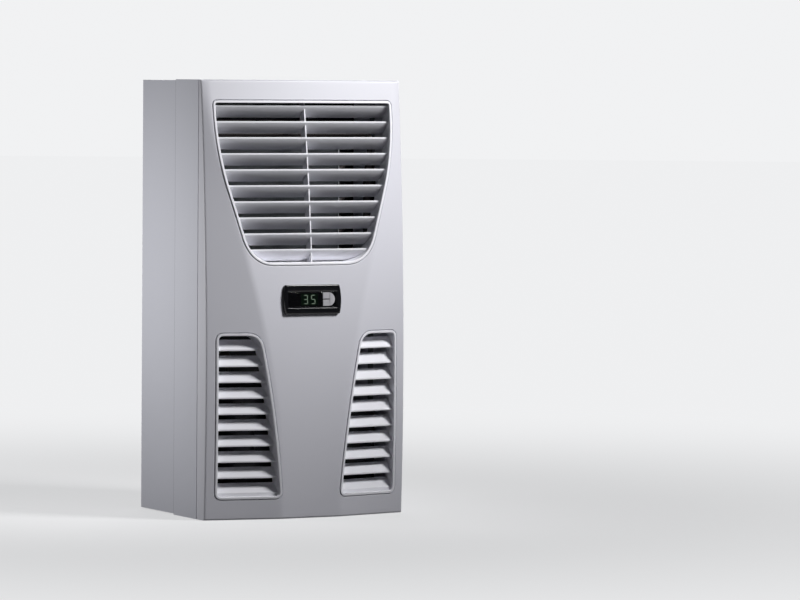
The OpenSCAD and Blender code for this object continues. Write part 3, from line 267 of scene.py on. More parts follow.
def unit_circle(n):
    return [(math.cos(2 * math.pi * k / n), math.sin(2 * math.pi * k / n)) for k in range(n)]


# Shader nodes
def empty_tree(owner):
    """Two functions for the nodes of a material or world: one adds a node, one links sockets"""
    owner.use_nodes = True
    tree = owner.node_tree
    tree.nodes.clear()
    return lambda kind: tree.nodes.new("ShaderNode" + kind), tree.links.new


def mixed(new, link, factor, a, b, blend="MIX"):
    """A mix of two colours, each input a socket or a plain value"""
    mix = new("Mix")
    mix.data_type, mix.blend_type = "RGBA", blend
    for index, value in zip((0, 6, 7), (factor, a, b)):
        if isinstance(value, bpy.types.NodeSocket):
            link(value, mix.inputs[index])
        else:
            mix.inputs[index].default_value = value
    return mix.outputs[2]


def ramped(new, link, value, start, end, low, high):
    """A grey from low to high while the value goes from start to end"""
    ramp = new("ValToRGB")
    for stop, place, grey in zip(ramp.color_ramp.elements, (start, end), (low, high)):
        stop.position, stop.color = place, (grey, grey, grey, 1)
    link(value, ramp.inputs[0])
    return ramp.outputs[0]


def seen_by(new, link, *rays):
    """1 for either kind of ray, 0 for the others"""
    path, most = new("LightPath"), new("Math")
    most.operation = "MAXIMUM"
    for i, ray in enumerate(rays):
        link(path.outputs[ray], most.inputs[i])
    return most.outputs[0]


# Materials
def lin(r, g, b):
    return tuple(((v / 255 + 0.055) / 1.055) ** 2.4 if v > 10 else v / 255 / 12.92
                 for v in (r, g, b)) + (1.0,)


def tint(colour, by):
    return tuple(min(1.0, c * by) for c in colour[:3]) + (1.0,)


def finish(name, colour, rough, metal=0.0, vary=0.04, vary_scale=7.0, grain=900.0,
           grain_depth=0.00004, stretch=(1, 1, 1), edge=0.0, rough_vary=0.08, alpha=1.0,
           glow=None):
    """A surface with broad changes of colour and roughness, specks and a fine relief, and where
    asked for with paler edges or a glow"""
    material = bpy.data.materials.new(name)
    new, link = empty_tree(material)
    out, bsdf = new("OutputMaterial"), new("BsdfPrincipled")
    link(bsdf.outputs[0], out.inputs[0])
    bsdf.inputs["Metallic"].default_value = metal
    bsdf.inputs["IOR"].default_value = 1.5
    bsdf.inputs["Alpha"].default_value = alpha
    if glow:
        bsdf.inputs["Emission Color"].default_value = glow[0]
        bsdf.inputs["Emission Strength"].default_value = glow[1]

    place, scaled = new("TexCoord"), new("Mapping")
    scaled.inputs["Scale"].default_value = stretch
    link(place.outputs["Object"], scaled.inputs[0])
    broad, fine = new("TexNoise"), new("TexNoise")
    for noise, scale, detail in ((broad, vary_scale, 4), (fine, grain, 3)):
        noise.inputs["Scale"].default_value = scale
        noise.inputs["Detail"].default_value = detail
        link(scaled.outputs[0], noise.inputs["Vector"])

    surface = mixed(new, link, broad.outputs["Fac"], tint(colour, 1 - vary), tint(colour, 1 + vary))
    specks = ramped(new, link, fine.outputs["Fac"], 0.3, 0.7, 1 - vary, 1)
    surface = mixed(new, link, 0.6, surface, specks, "MULTIPLY")
    if edge:
        sharp = new("NewGeometry").outputs["Pointiness"]
        worn = ramped(new, link, sharp, 0.52, 0.62, 0, edge)
        surface = mixed(new, link, worn, surface, tint(colour, 1.25))
    link(surface, bsdf.inputs["Base Color"])

    spread = new("MapRange")
    spread.inputs["To Min"].default_value = max(0.02, rough - rough_vary)
    spread.inputs["To Max"].default_value = rough + rough_vary
    link(broad.outputs["Fac"], spread.inputs["Value"])
    link(spread.outputs[0], bsdf.inputs["Roughness"])
    bump = new("Bump")
    bump.inputs["Strength"].default_value = 0.6
    bump.inputs["Distance"].default_value = grain_depth
    link(fine.outputs["Fac"], bump.inputs["Height"])
    link(bump.outputs[0], bsdf.inputs["Normal"])
    return material


FINISH = {
    "cover": finish("cover_paint", lin(213, 213, 221), 0.42, vary=0.012, grain=1400,
                    grain_depth=0.00002, edge=0.25),
    "sheet": finish("sheet_paint", lin(216, 217, 226), 0.6, vary=0.015, grain=700,
                    grain_depth=0.00006),
    # Painted shade: a darker grey of the sheet paint for the strip by the hood's seam, standing in
    # for the shadow there
    "seam_shade": finish("painted_seam_shade", lin(158, 159, 167), 0.7, vary=0.03, grain=700,
                    grain_depth=0.00006),
    "grille": finish("grille_plastic", lin(238, 238, 244), 0.42, vary=0.015, grain=1500,
                     grain_depth=0.00002, edge=0.2),
    "bezel": finish("bezel_plastic", lin(14, 14, 18), 0.15, rough_vary=0.03, vary=0.05,
                    grain=2400, grain_depth=0.00001),
    "glass": finish("window_glass", (0.002, 0.002, 0.003, 1), 0.07, vary=0.02, rough_vary=0.02,
                    alpha=0.7, grain=400, grain_depth=0.000003),
    "digits": finish("lit_digits", lin(150, 175, 150), 0.5, glow=((0.5, 0.64, 0.5, 1), 3.6)),
    "led": finish("digit_block", lin(6, 14, 8), 0.5, glow=((0.001, 0.036, 0.004, 1), 1.0)),
    "key": finish("key_plastic", lin(168, 167, 172), 0.5, vary=0.06, vary_scale=400, grain=2600,
                  grain_depth=0.00003),
    "dark": finish("dark_plastic", lin(30, 31, 34), 0.45, vary=0.08, grain=1600,
                   grain_depth=0.00003),
    "board": finish("circuit_board", lin(24, 84, 52), 0.4, vary=0.12, vary_scale=60, grain=500),
    "rubber": finish("black_rubber", lin(30, 30, 31), 0.75, vary=0.1, grain=1100,
                     grain_depth=0.00006),
    "foam": finish("gasket_foam", lin(52, 53, 55), 0.9, vary=0.15, grain=800, grain_depth=0.0003),
    "wire": finish("coated_wire", lin(40, 41, 44), 0.45, vary=0.08, grain=1500),
    "zinc": finish("zinc_sheet", lin(176, 180, 184), 0.38, metal=0.9, vary=0.1, vary_scale=45,
                   grain=260, rough_vary=0.12),
    "fins": finish("fin_foil", lin(190, 194, 200), 0.34, metal=0.95, vary=0.07, vary_scale=30,
                   grain=700, stretch=(1, 1, 0.2)),
    "copper": finish("copper_pipe", lin(148, 98, 72), 0.4, metal=0.9, vary=0.2, vary_scale=26,
                     grain=600),
    # Painted shade: copper darkened to a dull grey for the pipes and the condenser's tubes, which
    # lie in shadow inside the cover
    "shaded_copper": finish("copper_painted_shade", lin(66, 62, 61), 0.5, metal=0.7, vary=0.25, vary_scale=26,
                      grain=600),
    # Black paint of the compressor; on the partition, the control box and its lid the same black is
    # painted shade that keeps the view through the grilles' gaps dark
    "black": finish("black_paint", lin(26, 27, 30), 0.35, vary=0.1, grain=500,
                    grain_depth=0.00008, edge=0.3),
    "connector": finish("connector_plastic", lin(70, 104, 70), 0.5, vary=0.06, grain=1500),
}
NODE_FINISH = {
    "rear_housing": "sheet", "hood": "sheet", "front_cover": "cover",
    "upper_grille": "grille", "lower_left_grille": "grille", "lower_right_grille": "grille",
    "rear_gasket": "foam", "inlet_guard": "wire", "terminal_block": "connector",
    "stud_sockets": "rubber", "compressor_mounts": "rubber",
    "display_bezel": "bezel", "display_window": "glass", "display_module": "dark",
    "display_digits": "digits", "display_board": "board",
    "key_up": "key", "key_down": "key", "key_set": "key",
    "fan_frame": "dark", "fan_rotor": "dark", "blower_wheel": "dark",
    "condensate_tray": "dark", "drain_spout": "dark", "compressor_cap": "dark",
    "condenser_fins": "fins", "evaporator_fins": "fins",
    # The condenser's tubes and bends and the pipes get the copper darkened as painted shade
    "condenser_tubes": "shaded_copper", "condenser_bends": "shaded_copper",
    "evaporator_tubes": "copper", "evaporator_bends": "copper",
    "discharge_pipe": "shaded_copper", "suction_pipe": "shaded_copper", "liquid_pipe": "shaded_copper",
    "capillary_tube": "shaded_copper", "filter_drier": "shaded_copper",
    # The partition, the control box and its lid take the black as painted shade, so the gaps of the
    # grilles look dark
    "compressor": "black", "control_box": "black", "control_lid": "black", "partition": "black",
}


def finish_of(node):
    return FINISH[NODE_FINISH.get(node, "zinc")]


for name, obj in nodes.items():
    obj.data.materials.clear()
    obj.data.materials.append(finish_of(name))


# Pieces
def object_from(name, bm):
    mesh = bpy.data.meshes.new(name)
    bm.to_mesh(mesh)
    bm.free()
    obj = bpy.data.objects.new(name, mesh)
    scene.collection.objects.link(obj)
    return obj


def piece(name, bm, like, smooth):
    """A piece shown instead of a solid, on the solid's body and in its finish"""
    bmesh.ops.recalc_face_normals(bm, faces=bm.faces)
    obj = object_from(name, bm)
    obj.data.shade_smooth()
    obj.data.set_sharp_from_angle(angle=math.radians(smooth))
    obj.data.materials.append(finish_of(like))
    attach(obj, nodes[like]["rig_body"])
    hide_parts(like)
    return obj


def drawn(name, bm, like, smooth):
    """A piece drawn here from rings and faces"""
    bmesh.ops.remove_doubles(bm, verts=bm.verts, dist=1e-7)
    obj = piece(name, bm, like, smooth)
    weigh = obj.modifiers.new("normals", "WEIGHTED_NORMAL")
    weigh.keep_sharp = True


def softened(node, width):
    """A solid's own mesh with rounded edges"""
    bm = bmesh.new()
    bm.from_mesh(nodes[node].data)
    bmesh.ops.remove_doubles(bm, verts=bm.verts, dist=1e-6)
    bmesh.ops.dissolve_limit(bm, angle_limit=math.radians(0.8), verts=bm.verts, edges=bm.edges)
    obj = piece(node + "_soft", bm, node, 34)
    cut = obj.modifiers.new("edges", "BEVEL")
    cut.width, cut.segments, cut.limit_method = width / 1000, 3, "ANGLE"
    cut.angle_limit = math.radians(40)
    cut.miter_outer = "MITER_ARC"
    cut.harden_normals = True
    return obj


def second_finish(obj, finish_name, chosen):
    """Another finish on the faces whose middle is chosen"""
    obj.data.materials.append(FINISH[finish_name])
    for face in obj.data.polygons:
        if chosen(face.center):
            face.material_index = 1


def ring_of(bm, points):
    return [bm.verts.new(p) for p in points]


def bridge(bm, rings, closed):
    """Faces from ring to ring, and from the last to the first if closed"""
    n = len(rings[0])
    for a, b in list(zip(rings, rings[1:])) + ([(rings[-1], rings[0])] if closed else []):
        for i in range(n):
            j = (i + 1) % n
            bm.faces.new((a[i], a[j], b[j], b[i]))


def capped(bm, rings):
    bridge(bm, rings, closed=False)
    bm.faces.new(rings[0])
    bm.faces.new(rings[-1])


# Front cover: one skin with the grilles' and the display's openings, filleted where it meets them
def cover_holes():
    lower, upper = (grown(dense(path, 6), RIM_W + RIM_GAP)
                    for path in (lower_outline(), upper_outline()))
    w, h = DISPLAY_CUT_W, DISPLAY_CUT_H * math.cos(TILT)
    display = [Vector((x, DISPLAY_Z + z)) for x, z in ((w, -h), (w, h), (-w, h), (-w, -h))]
    return [upper, lower, mirrored(lower), dense(display, 6)]


def cover_net(holes):
    """The skin seen from the front, as points and triangles. Lines follow its outline, the
    fillets round the holes and the creases, and a grid fills the rest"""
    ends = [EDGE_ROUND * (1 - math.cos(math.radians(a))) for a in range(0, 91, 15)]
    rows = [GRID_END + (BODY_H - 2 * GRID_END) * i / GRID_ROWS for i in range(GRID_ROWS + 1)]
    zs = ends + rows + [BODY_H - e for e in reversed(ends)]
    xs = [EDGE_X * (i / GRID_HALF - 1) for i in range(2 * GRID_HALF + 1)]
    pts, edges = [], []

    def add_line(path, closed):
        start = len(pts)
        pts.extend(path)
        edges.extend((start + i, start + i + 1) for i in range(len(path) - 1))
        if closed:
            edges.append((start + len(path) - 1, start))

    add_line([Vector((x, 0)) for x in xs] + [Vector((EDGE_X, z)) for z in zs[1:-1]]
             + [Vector((x, BODY_H)) for x in reversed(xs)]
             + [Vector((-EDGE_X, z)) for z in reversed(zs[1:-1])], True)
    for hole in holes:
        for by in FILLET_RINGS:
            add_line(grown(hole, by), True)
    for side in (-1, 1):
        for off in (-CREASE_ROUND, -2.2, 0, 2.2, CREASE_ROUND):
            add_line([Vector((side * (crease_half(z) + off), z)) for z in zs], False)
    keep_off = [grown(hole, 3) for hole in holes]
    for z in zs[1:-1]:
        for x in xs[1:-1]:
            if (not any(inside(path, x, z) for path in keep_off)
                    and abs(abs(x) - crease_half(z)) > CREASE_ROUND + 2.5):
                pts.append(Vector((x, z)))

    points, _, triangles, _, _, _ = delaunay_2d_cdt(pts, edges, [], 0, 1e-4)
    faces = []
    for f in triangles:
        a, b, c = (points[i] for i in f)
        area = (b - a).cross(c - a)
        x, z = (a.x + b.x + c.x) / 3, (a.y + b.y + c.y) / 3
        if abs(area) > 1e-7 and not any(inside(hole, x, z) for hole in holes):
            faces.append(tuple(f) if area > 0 else tuple(reversed(f)))
    return points, faces


def cover_surface(holes):
    """Depth of the skin, which curves back at the holes, the top and the bottom"""
    near = [(min(p.x for p in h) - 2, max(p.x for p in h) + 2,
             min(p.y for p in h) - 2, max(p.y for p in h) + 2) for h in holes]

    def depth(x, z):
        drop = 0.0
        for hole, (x0, x1, z0, z1) in zip(holes, near):
            if x0 < x < x1 and z0 < z < z1:
                s = distance(hole, x, z)
                if s < FILLET:
                    drop = FILLET - math.sqrt(max(FILLET ** 2 - (FILLET - s) ** 2, 0))
        return front_d(x, z) - end_inset(z) - drop

    return depth


def drawn_in(v, full):
    """A place on the skin's inside, drawn in by the wall's thickness towards the outline"""
    run = full - 12
    way = abs(v)
    if way >= run:
        way = run + (way - run) * (full - COVER_T - run) / (full - run)
    return way if v > 0 else -way


def inner_z(z):
    return MID_Z + drawn_in(z - MID_Z, MID_Z)


def side_column(bm, x, z, front):
    """Outside and inside of the cover's side at one height, from the front to the back"""
    s = 1 if x > 0 else -1
    outer_d, inner_d = edge_d(z) - end_inset(z), edge_d(z) - COVER_T
    curve = quad_curve((EDGE_X, front), (HALF_W, outer_d), (HALF_W, outer_d - EDGE_ROUND), 6)[1:]
    outer = [at(s * p.x, p.y, z) for p in curve] + [at(s * HALF_W, COVER_BACK, z)]
    inner = [at(s * px, inner_d - back, inner_z(z)) for px, back in INNER_CORNER]
    inner.append(at(s * (HALF_W - COVER_T), COVER_BACK, inner_z(z)))
    return ring_of(bm, outer), ring_of(bm, inner)


def stud(bm, x, z):
    """A stud of the cover, bored from behind"""
    circle = unit_circle(20)

    def behind(r, d):
        return ring_of(bm, [at(x + r * c, d, z + r * s) for c, s in circle])

    root = [(x + STUD_R * c, z + STUD_R * s) for c, s in circle]
    rings = [behind(BORE_R, BORE_END), behind(BORE_R, COVER_BACK), behind(STUD_R, COVER_BACK),
             ring_of(bm, [at(px, front_d(px, pz) - STUD_ROOT, pz) for px, pz in root])]
    capped(bm, rings)


def front_cover():
    holes = cover_holes()
    points, faces = cover_net(holes)
    surface = cover_surface(holes)
    used = sorted({i for f in faces for i in f})
    bm = bmesh.new()
    outer, inner = {}, {}
    for i in used:
        x, z = points[i]
        outer[i] = bm.verts.new(at(x, surface(x, z), z))
        inner[i] = bm.verts.new(at(drawn_in(x, EDGE_X), front_d(x, z) - COVER_T, inner_z(z)))
    sides = {}
    for f in faces:
        bm.faces.new([outer[i] for i in f])
        bm.faces.new([inner[i] for i in reversed(f)])
        for a, b in zip(f, f[1:] + f[:1]):
            sides[(a, b)] = True

    # Sides of triangles without a neighbour lie on the outline or in the wall of a hole
    outline = {i for i in used if abs(abs(points[i].x) - EDGE_X) < 1e-3
               or points[i].y < 1e-3 or points[i].y > BODY_H - 1e-3}
    follower = {}
    for a, b in sides:
        if (b, a) not in sides:
            if a in outline and b in outline:
                follower[a] = b
            else:
                bm.faces.new((outer[b], outer[a], inner[a], inner[b]))

    columns = {}
    for i in follower:
        x, z = points[i]
        if abs(abs(x) - EDGE_X) < 1e-3:
            out, back = side_column(bm, x, z, surface(EDGE_X, z))
            columns[i] = ([outer[i]] + out, [inner[i]] + back)
    for a, b in follower.items():
        if a in columns and b in columns and abs(points[a].x - points[b].x) < 1e-3:
            (oa, ia), (ob, ib) = columns[a], columns[b]
            for k in range(len(oa) - 1):
                bm.faces.new((ob[k], oa[k], oa[k + 1], ob[k + 1]))
            for k in range(len(ia) - 1):
                bm.faces.new((ia[k], ib[k], ib[k + 1], ia[k + 1]))
            bm.faces.new((ob[-1], oa[-1], ia[-1], ib[-1]))
    for end in (0.0, BODY_H):
        row = sorted((i for i in follower if abs(points[i].y - end) < 1e-3),
                     key=lambda i: points[i].x)
        (left_out, left_in), (right_out, right_in) = columns[row[0]], columns[row[-1]]
        bm.faces.new([outer[i] for i in row] + right_out[1:] + list(reversed(left_out[1:])))
        bm.faces.new([inner[i] for i in row] + right_in[1:] + list(reversed(left_in[1:])))
        bm.faces.new((left_out[-1], right_out[-1], right_in[-1], left_in[-1]))
    for x in (-STUD_X, STUD_X):
        for z in (STUD_Z, BODY_H - STUD_Z):
            stud(bm, x, z)
    drawn("front_cover_skin", bm, "front_cover", 38)


# Grilles
def rim(bm, path, base, side=1):
    """Rim round an opening: a rounded lip, walls inside and outside, and a flange that stays
    behind the cover"""
    top, front, wide = RIM_PROUD, -COVER_T - FLANGE_GAP, RIM_W + RIM_GAP + FLANGE_W
    lip = (quad_curve((0, top - LIP_IN), (0, top), (LIP_IN, top), 5)[1:]
           + quad_curve((RIM_W - LIP_OUT, top), (RIM_W, top), (RIM_W, top - LIP_OUT), 4))
    profile = [(0, -RIM_DEPTH, False), (0, top - LIP_IN, False)]
    profile += [(p.x, p.y, False) for p in lip]
    profile += [(RIM_W, front, False), (wide, front, True), (wide, front - FLANGE_T, True),
                (RIM_W, front - FLANGE_T, False), (RIM_W, -RIM_DEPTH, False)]
    path = dense(path, 5)
    rings = []
    for out, up, behind in profile:
        ring = []
        for q in grown(path, out):
            d = base(q.x, q.y) + up
            if behind:
                d = min(d, front_d(q.x, q.y) + up)
            ring.append(at(side * q.x, d, q.y))
        rings.append(ring_of(bm, ring))
    bridge(bm, rings, closed=True)


def slat_profile(depth, rise, lip=0.0):
    """Section of a slat, from its front edge back and up. A falling slat has a curved underside,
    and the lowest rising slat has a lip down to the sill"""
    t, r = SLAT_T, SLAT_ROUND
    u, up = Vector((depth, rise)).normalized(), Vector((0, 1))
    tip, low = Vector((0, 0)), Vector((0, -t))
    far, far_low = Vector((depth, rise)), Vector((depth, rise - t))
    pts = (quad_curve(tip - up * r, tip, tip + u * r, 4)
           + quad_curve(far - u * r, far, far - up * r, 3))
    if rise < 0:
        belly = Vector((BELLY_D, -t - BELLY_DROP))
        start = far_low + (belly - far_low).normalized() * r
        end = low + (belly - low).normalized() * r
        return (pts + quad_curve(far_low + up * r, far_low, start, 3)
                + quad_curve(start, belly, end, 10)[1:-1] + quad_curve(end, low, low + up * r, 4))
    pts += quad_curve(far_low + up * r, far_low, far_low - u * r, 3)
    if lip:
        corners = ((t, rise * t / depth - t), (t, -t - lip), (0, -t - lip))
        return pts + [Vector(corner) for corner in corners]
    return pts + quad_curve(low + u * r, low, low + up * r, 4)


def by_height(path):
    return sorted(path, key=lambda p: p.y)


def width_at(pts, z):
    """Half width at a height of a side whose points go upwards"""
    z = min(max(z, pts[0].y), pts[-1].y)
    for a, b in zip(pts, pts[1:]):
        if a.y <= z <= b.y:
            return a.x if b.y - a.y < 1e-9 else a.x + (b.x - a.x) * (z - a.y) / (b.y - a.y)
    return pts[-1].x


def slat(bm, profile, z0, steps, ends, lip_d, side=1):
    """A slat along the opening's width, its ends sunk into the rim"""
    spans = [ends(z0 + p.y) for p in profile]
    rings = []
    for k in range(steps + 1):
        ring = []
        for p, (a, b) in zip(profile, spans):
            x = a + (b - a) * k / steps
            ring.append(at(side * x, lip_d(x) - SLAT_RECESS - p.x, z0 + p.y))
        rings.append(ring_of(bm, ring))
    capped(bm, rings)


def upper_grille():
    bm = bmesh.new()
    rim(bm, upper_outline(), lambda x, z: shield_d(z))
    half = by_height(upper_half_outline(24))

    def ends(z):
        end = width_at(half, z) + BITE
        return -end, end

    for i in range(SLAT_COUNT):
        z0 = UPPER_SILL + UPPER_SLAT_Z + SLAT_PITCH * i
        slat(bm, slat_profile(UPPER_SLAT_D, -UPPER_SLAT_FALL), z0, 24, ends,
             lambda x: shield_d(z0))
    rings = []
    for i in range(RIB_STEPS + 1):
        z = UPPER_SILL - 1 + (UPPER_TOP - UPPER_SILL + 2) * i / RIB_STEPS
        d = shield_d(z) - SLAT_RECESS
        rings.append(ring_of(bm, [at(RIB_X + x, d - back, z) for x, back in RIB_PROFILE]))
    capped(bm, rings)
    drawn("upper_grille_fine", bm, "upper_grille", 40)


def lower_grille(side, node):
    bm = bmesh.new()
    path = lower_outline()
    rim(bm, path, flank_d, side)
    inner = by_height(p for p in dense(path, 2) if p.x < lower_side(LOWER_TOP) + LOWER_CORNER)

    def ends(z):
        return width_at(inner, z) - BITE, LOWER_HALF + BITE

    for i in range(SLAT_COUNT):
        foot = LOWER_SILL + LOWER_SLAT_Z + SLAT_PITCH * i
        profile = slat_profile(LOWER_SLAT_D, LOWER_SLAT_RISE, 0.0 if i else LOWER_SLAT_Z + BITE)
        slat(bm, profile, foot + SLAT_T, 12, ends, lambda x: flank_d(x, foot), side)
    drawn(node + "_fine", bm, node, 40)


# Display, drawn round the middle of the bezel
DISPLAY = Matrix.Translation(at(0, shield_d(DISPLAY_Z), DISPLAY_Z)) @ Matrix.Rotation(-TILT, 4, "X")


def shown(x, h, z):
    return DISPLAY @ Vector((x / 1000, -h / 1000, z / 1000))


def loop(half_w, half_h, r, bulge=0.0, shift=0.0):
    """A rounded rectangle of 64 points whose left and right sides can bulge"""
    arc, edge = 6, 10
    pts = []
    for sx, sz, start in ((1, 1, 0), (-1, 1, 90), (-1, -1, 180), (1, -1, 270)):
        for k in range(arc + 1):
            a = math.radians(start + 90 * k / arc)
            pts.append((sx * (half_w - r) + r * math.cos(a), sz * (half_h - r) + r * math.sin(a)))
    full = []
    for i, p in enumerate(pts):
        q = pts[(i + 1) % len(pts)]
        n = edge if (i + 1) % (arc + 1) == 0 else 1
        full += [(p[0] + (q[0] - p[0]) * k / n, p[1] + (q[1] - p[1]) * k / n) for k in range(n)]
    return [(x + shift + (bulge * (1 - (z / half_h) ** 2) * (x / half_w)), z) for x, z in full]


def display_bezel():
    """One closed wall: opening, seat of the window, lip, front, sides and collar. Two clips
    stand on the collar"""
    bm = bmesh.new()
    w, h, r = BEZEL_W, BEZEL_H, BEZEL_ROUND
    opening, recess = loop(33.2, 8.3, 0.6, shift=0.9), loop(33.5, 9.5, 0.6)
    collar, inside_collar = loop(36.1, 16.3, 1.0), loop(34.3, 14.5, 0.8)
    rows = [(opening, PLATE_HEIGHT), (opening, SEAT_HEIGHT), (recess, SEAT_HEIGHT), (recess, 2.4),
            (loop(33.6, 9.6, 0.7), 2.7), (loop(34.8, 10.8, 1.2), 3.85),
            (loop(35.2, 11.2, 1.3), BEZEL_FRONT)]
    for k in range(6):
        a = math.radians(18 * k)
        out, up = r * math.sin(a), r * math.cos(a)
        rounded = loop(w - r + out, h - r + out, BEZEL_CORNER, BEZEL_BULGE)
        rows.append((rounded, BEZEL_FRONT - r + up))
    rows += [(loop(w, h, BEZEL_CORNER, BEZEL_BULGE), BEZEL_FOOT), (collar, BEZEL_FOOT),
             (collar, COLLAR_BACK), (inside_collar, COLLAR_BACK), (inside_collar, PLATE_HEIGHT)]
    rings = [ring_of(bm, [shown(x, height, z) for x, z in pts]) for pts, height in rows]
    bridge(bm, rings, closed=True)
    for s in (-1, 1):
        foot = [(x, height) for x, height in
                ((-CLIP_HALF, -2.8), (CLIP_HALF, -2.8), (CLIP_HALF, -4.0), (-CLIP_HALF, -4.0))]
        low = ring_of(bm, [shown(x, height, s * CLIP_Z) for x, height in foot])
        high = ring_of(bm, [shown(x * 0.97, height - 0.1 * (height > -3), s * (CLIP_Z + CLIP_OUT))
                            for x, height in foot])
        capped(bm, [low, high])
    drawn("display_bezel_fine", bm, "display_bezel", 40)


def display_digits():
    """The digits 3 and 5 from strokes with pointed ends"""
    bm = bmesh.new()
    w, h, t = DIGIT_W, DIGIT_H, STROKE
    top, upper_right, lower_right, bottom, upper_left, middle = (
        (0, h, False), (w, h / 2, True), (w, -h / 2, True), (0, -h, False), (-w, h / 2, True),
        (0, 0, False))
    three = (top, upper_right, lower_right, bottom, middle)
    five = (top, upper_left, middle, lower_right, bottom)
    for cx, strokes in ((DIGITS_X - DIGIT_APART, three), (DIGITS_X + DIGIT_APART, five)):
        for x, z, upright in strokes:
            n = (h / 2 if upright else w) - STROKE_GAP
            shape = [(-n, 0), (-n + t, -t), (n - t, -t), (n, 0), (n - t, t), (-n + t, t)]
            if upright:
                shape = [(b, a) for a, b in shape]
            capped(bm, [ring_of(bm, [shown(cx + x + a * size, height, z + b * size)
                                     for a, b in shape])
                        for size, height in ((1, 0.6), (1, 0.82), (0.94, 0.9))])
    drawn("display_digits_fine", bm, "display_digits", 30)


def condenser_fins():
    """The fin pack as thin wavy sheets"""
    bm = bmesh.new()
    (x0, y0, z0), (x1, y1, z1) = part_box("condenser_fins")
    for i in range(FIN_COUNT + 1):
        x = x0 + FIN_INSET + (x1 - x0 - 2 * FIN_INSET) * i / FIN_COUNT
        rings = []
        for k in range(FIN_BENDS + 1):
            y = y0 + (y1 - y0) * k / FIN_BENDS
            wave = 0 if k in (0, FIN_BENDS) else (FIN_WAVE if k % 2 else -FIN_WAVE)
            left, right = x + wave - FIN_HALF_T, x + wave + FIN_HALF_T
            rings.append(ring_of(bm, [Vector((left, y, z0)), Vector((right, y, z0)),
                                      Vector((right, y, z1)), Vector((left, y, z1))]))
        capped(bm, rings)
    drawn("condenser_fin_pack", bm, "condenser_fins", 20)


def rear_housing():
    """The softened housing with a strip of painted shade at its seam with the hood: a darker finish
    standing in for the seam's shadow
    """
    housing = softened("rear_housing", 0.5)
    seam_shade_y = -(HOUSING_D - SEAM_SHADE_W) / 1000
    bm = bmesh.new()
    bm.from_mesh(housing.data)
    bmesh.ops.bisect_plane(bm, geom=bm.verts[:] + bm.edges[:] + bm.faces[:], dist=1e-6,
                           plane_co=(0, seam_shade_y, 0), plane_no=(0, 1, 0))
    bm.to_mesh(housing.data)
    bm.free()
    # The faces on the front side of the cut get the darker finish, painted shade along the hood's
    # seam
    second_finish(housing, "seam_shade", lambda middle: middle.y < seam_shade_y)


def display_module():
    """The softened module with the dark green block that stands on it behind the digits"""
    block = softened("display_module", 0.3)
    second_finish(block, "led", lambda middle: -(DISPLAY.inverted() @ middle).y > 0.0005)


front_cover()
upper_grille()
lower_grille(1, "lower_right_grille")
lower_grille(-1, "lower_left_grille")
display_bezel()
display_digits()
condenser_fins()
for node, width in (("hood", 0.5), ("display_window", 0.25), ("key_up", 0.3), ("key_down", 0.3),
                    ("key_set", 0.3)):
    softened(node, width)
rear_housing()
display_module()


# Floor and world
def floor_paper():
    """To the camera and in reflections the paper glows more with distance, so that it runs into
    the background. Light meets a dark surface, so little of it comes back from below"""
    material = bpy.data.materials.new("floor_paper")
    new, link = empty_tree(material)
    seen = seen_by(new, link, "Is Camera Ray", "Is Glossy Ray")
    place, far, spread, both = new("TexCoord"), new("VectorMath"), new("MapRange"), new("Math")
    far.operation, both.operation = "LENGTH", "MULTIPLY"
    link(place.outputs["Object"], far.inputs[0])
    spread.interpolation_type = "SMOOTHSTEP"
    for name, value in (("From Min", 0.1), ("From Max", 1.8), ("To Min", 0.62)):
        spread.inputs[name].default_value = value
    link(far.outputs["Value"], spread.inputs["Value"])
    link(seen, both.inputs[0])
    link(spread.outputs[0], both.inputs[1])
    diffuse, glow = new("BsdfDiffuse"), new("Emission")
    link(mixed(new, link, seen, (0.16, 0.16, 0.163, 1), (0.82, 0.82, 0.83, 1)), diffuse.inputs[0])
    glow.inputs[0].default_value = (0.86, 0.865, 0.875, 1)
    out, mix = new("OutputMaterial"), new("MixShader")
    for i, socket in enumerate((both.outputs[0], diffuse.outputs[0], glow.outputs[0])):
        link(socket, mix.inputs[i])
    link(mix.outputs[0], out.inputs[0])
    return material


def studio_floor():
    bm = bmesh.new()
    z = -MID_Z / 1000 - 0.0002
    rings = [ring_of(bm, [Vector((r * c, r * s, z)) for c, s in unit_circle(64)])
             for r in (0.0001, 0.4, 0.8, 1.6, 3.2, 6.4, 12.8, 25.0)]
    bridge(bm, rings, closed=False)
    floor = object_from("studio_floor", bm)
    floor.data.materials.append(floor_paper())


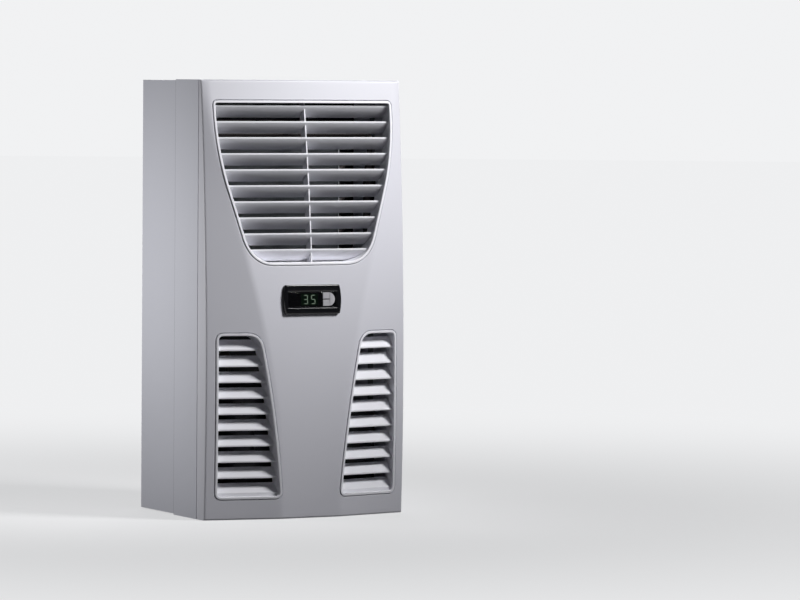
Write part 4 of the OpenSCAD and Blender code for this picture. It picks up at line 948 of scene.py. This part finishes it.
def studio_world():
    """A pale background that gives the object only a little light"""
    scene.world = bpy.data.worlds.new("studio")
    new, link = empty_tree(scene.world)
    out, mix, light, back = (new(kind) for kind in
                             ("OutputWorld", "MixShader", "Background", "Background"))
    light.inputs[0].default_value, light.inputs[1].default_value = (0.93, 0.95, 1.0, 1), 0.045
    back.inputs[0].default_value = (0.88, 0.885, 0.895, 1)
    seen = seen_by(new, link, "Is Camera Ray", "Is Transmission Ray")
    for i, socket in enumerate((seen, light.outputs[0], back.outputs[0])):
        link(socket, mix.inputs[i])
    link(mix.outputs[0], out.inputs[0])


# Lamps and camera
def lamp(name, place, target, power, size, spread):
    data = bpy.data.lights.new(name, "AREA")
    data.shape, data.size, data.energy = "SQUARE", size, power
    data.spread = math.radians(spread)
    obj = bpy.data.objects.new(name, data)
    obj.location = place
    obj.rotation_euler = (Vector(target) - Vector(place)).to_track_quat("-Z", "Y").to_euler()
    scene.collection.objects.link(obj)


def photo_camera():
    """The camera as fitted to the photo: its turn, pitch and roll in degrees, its place in m and
    its focal length in pixels of an 800 pixels wide picture"""
    turn, pitch, roll = math.radians(28.1261), math.radians(-2.778), math.radians(0.4385)
    back, right, up = 6.00043, 0.20793, 0.55755 - 0.275
    focal_px, width_px, sensor = 4639.24, 800, 36.0
    ahead = Vector((math.sin(turn), math.cos(turn), 0))
    across = Vector((math.cos(turn), -math.sin(turn), 0))
    place = across * right - ahead * back + Vector((0, 0, up))
    view = ahead * math.cos(pitch) + Vector((0, 0, math.sin(pitch)))
    above = -ahead * math.sin(pitch) + Vector((0, 0, math.cos(pitch)))
    x_axis = across * math.cos(roll) + above * math.sin(roll)
    y_axis = -across * math.sin(roll) + above * math.cos(roll)
    lens = bpy.data.cameras.new("camera")
    lens.sensor_width, lens.lens = sensor, focal_px / width_px * sensor
    lens.clip_start, lens.clip_end = 0.1, 60.0
    camera = bpy.data.objects.new("camera", lens)
    axes = Matrix((x_axis, y_axis, -view)).transposed()
    camera.matrix_world = Matrix.Translation(place) @ axes.to_4x4()
    scene.collection.objects.link(camera)
    scene.camera = camera


studio_floor()
studio_world()
lamp("key", (0.693, -0.96, 0.899), (0.01, -0.18, 0.12), 1.67, 0.4, 44)
lamp("side", (-0.65, 0.08, 0.06), (-0.14, -0.1, 0.04), 0.93, 0.3, 120)
lamp("rear", (0.9, 1.9, 0.7), (0, 0, 0), 17, 1.2, 180)
photo_camera()
scene.view_settings.view_transform = "Standard"
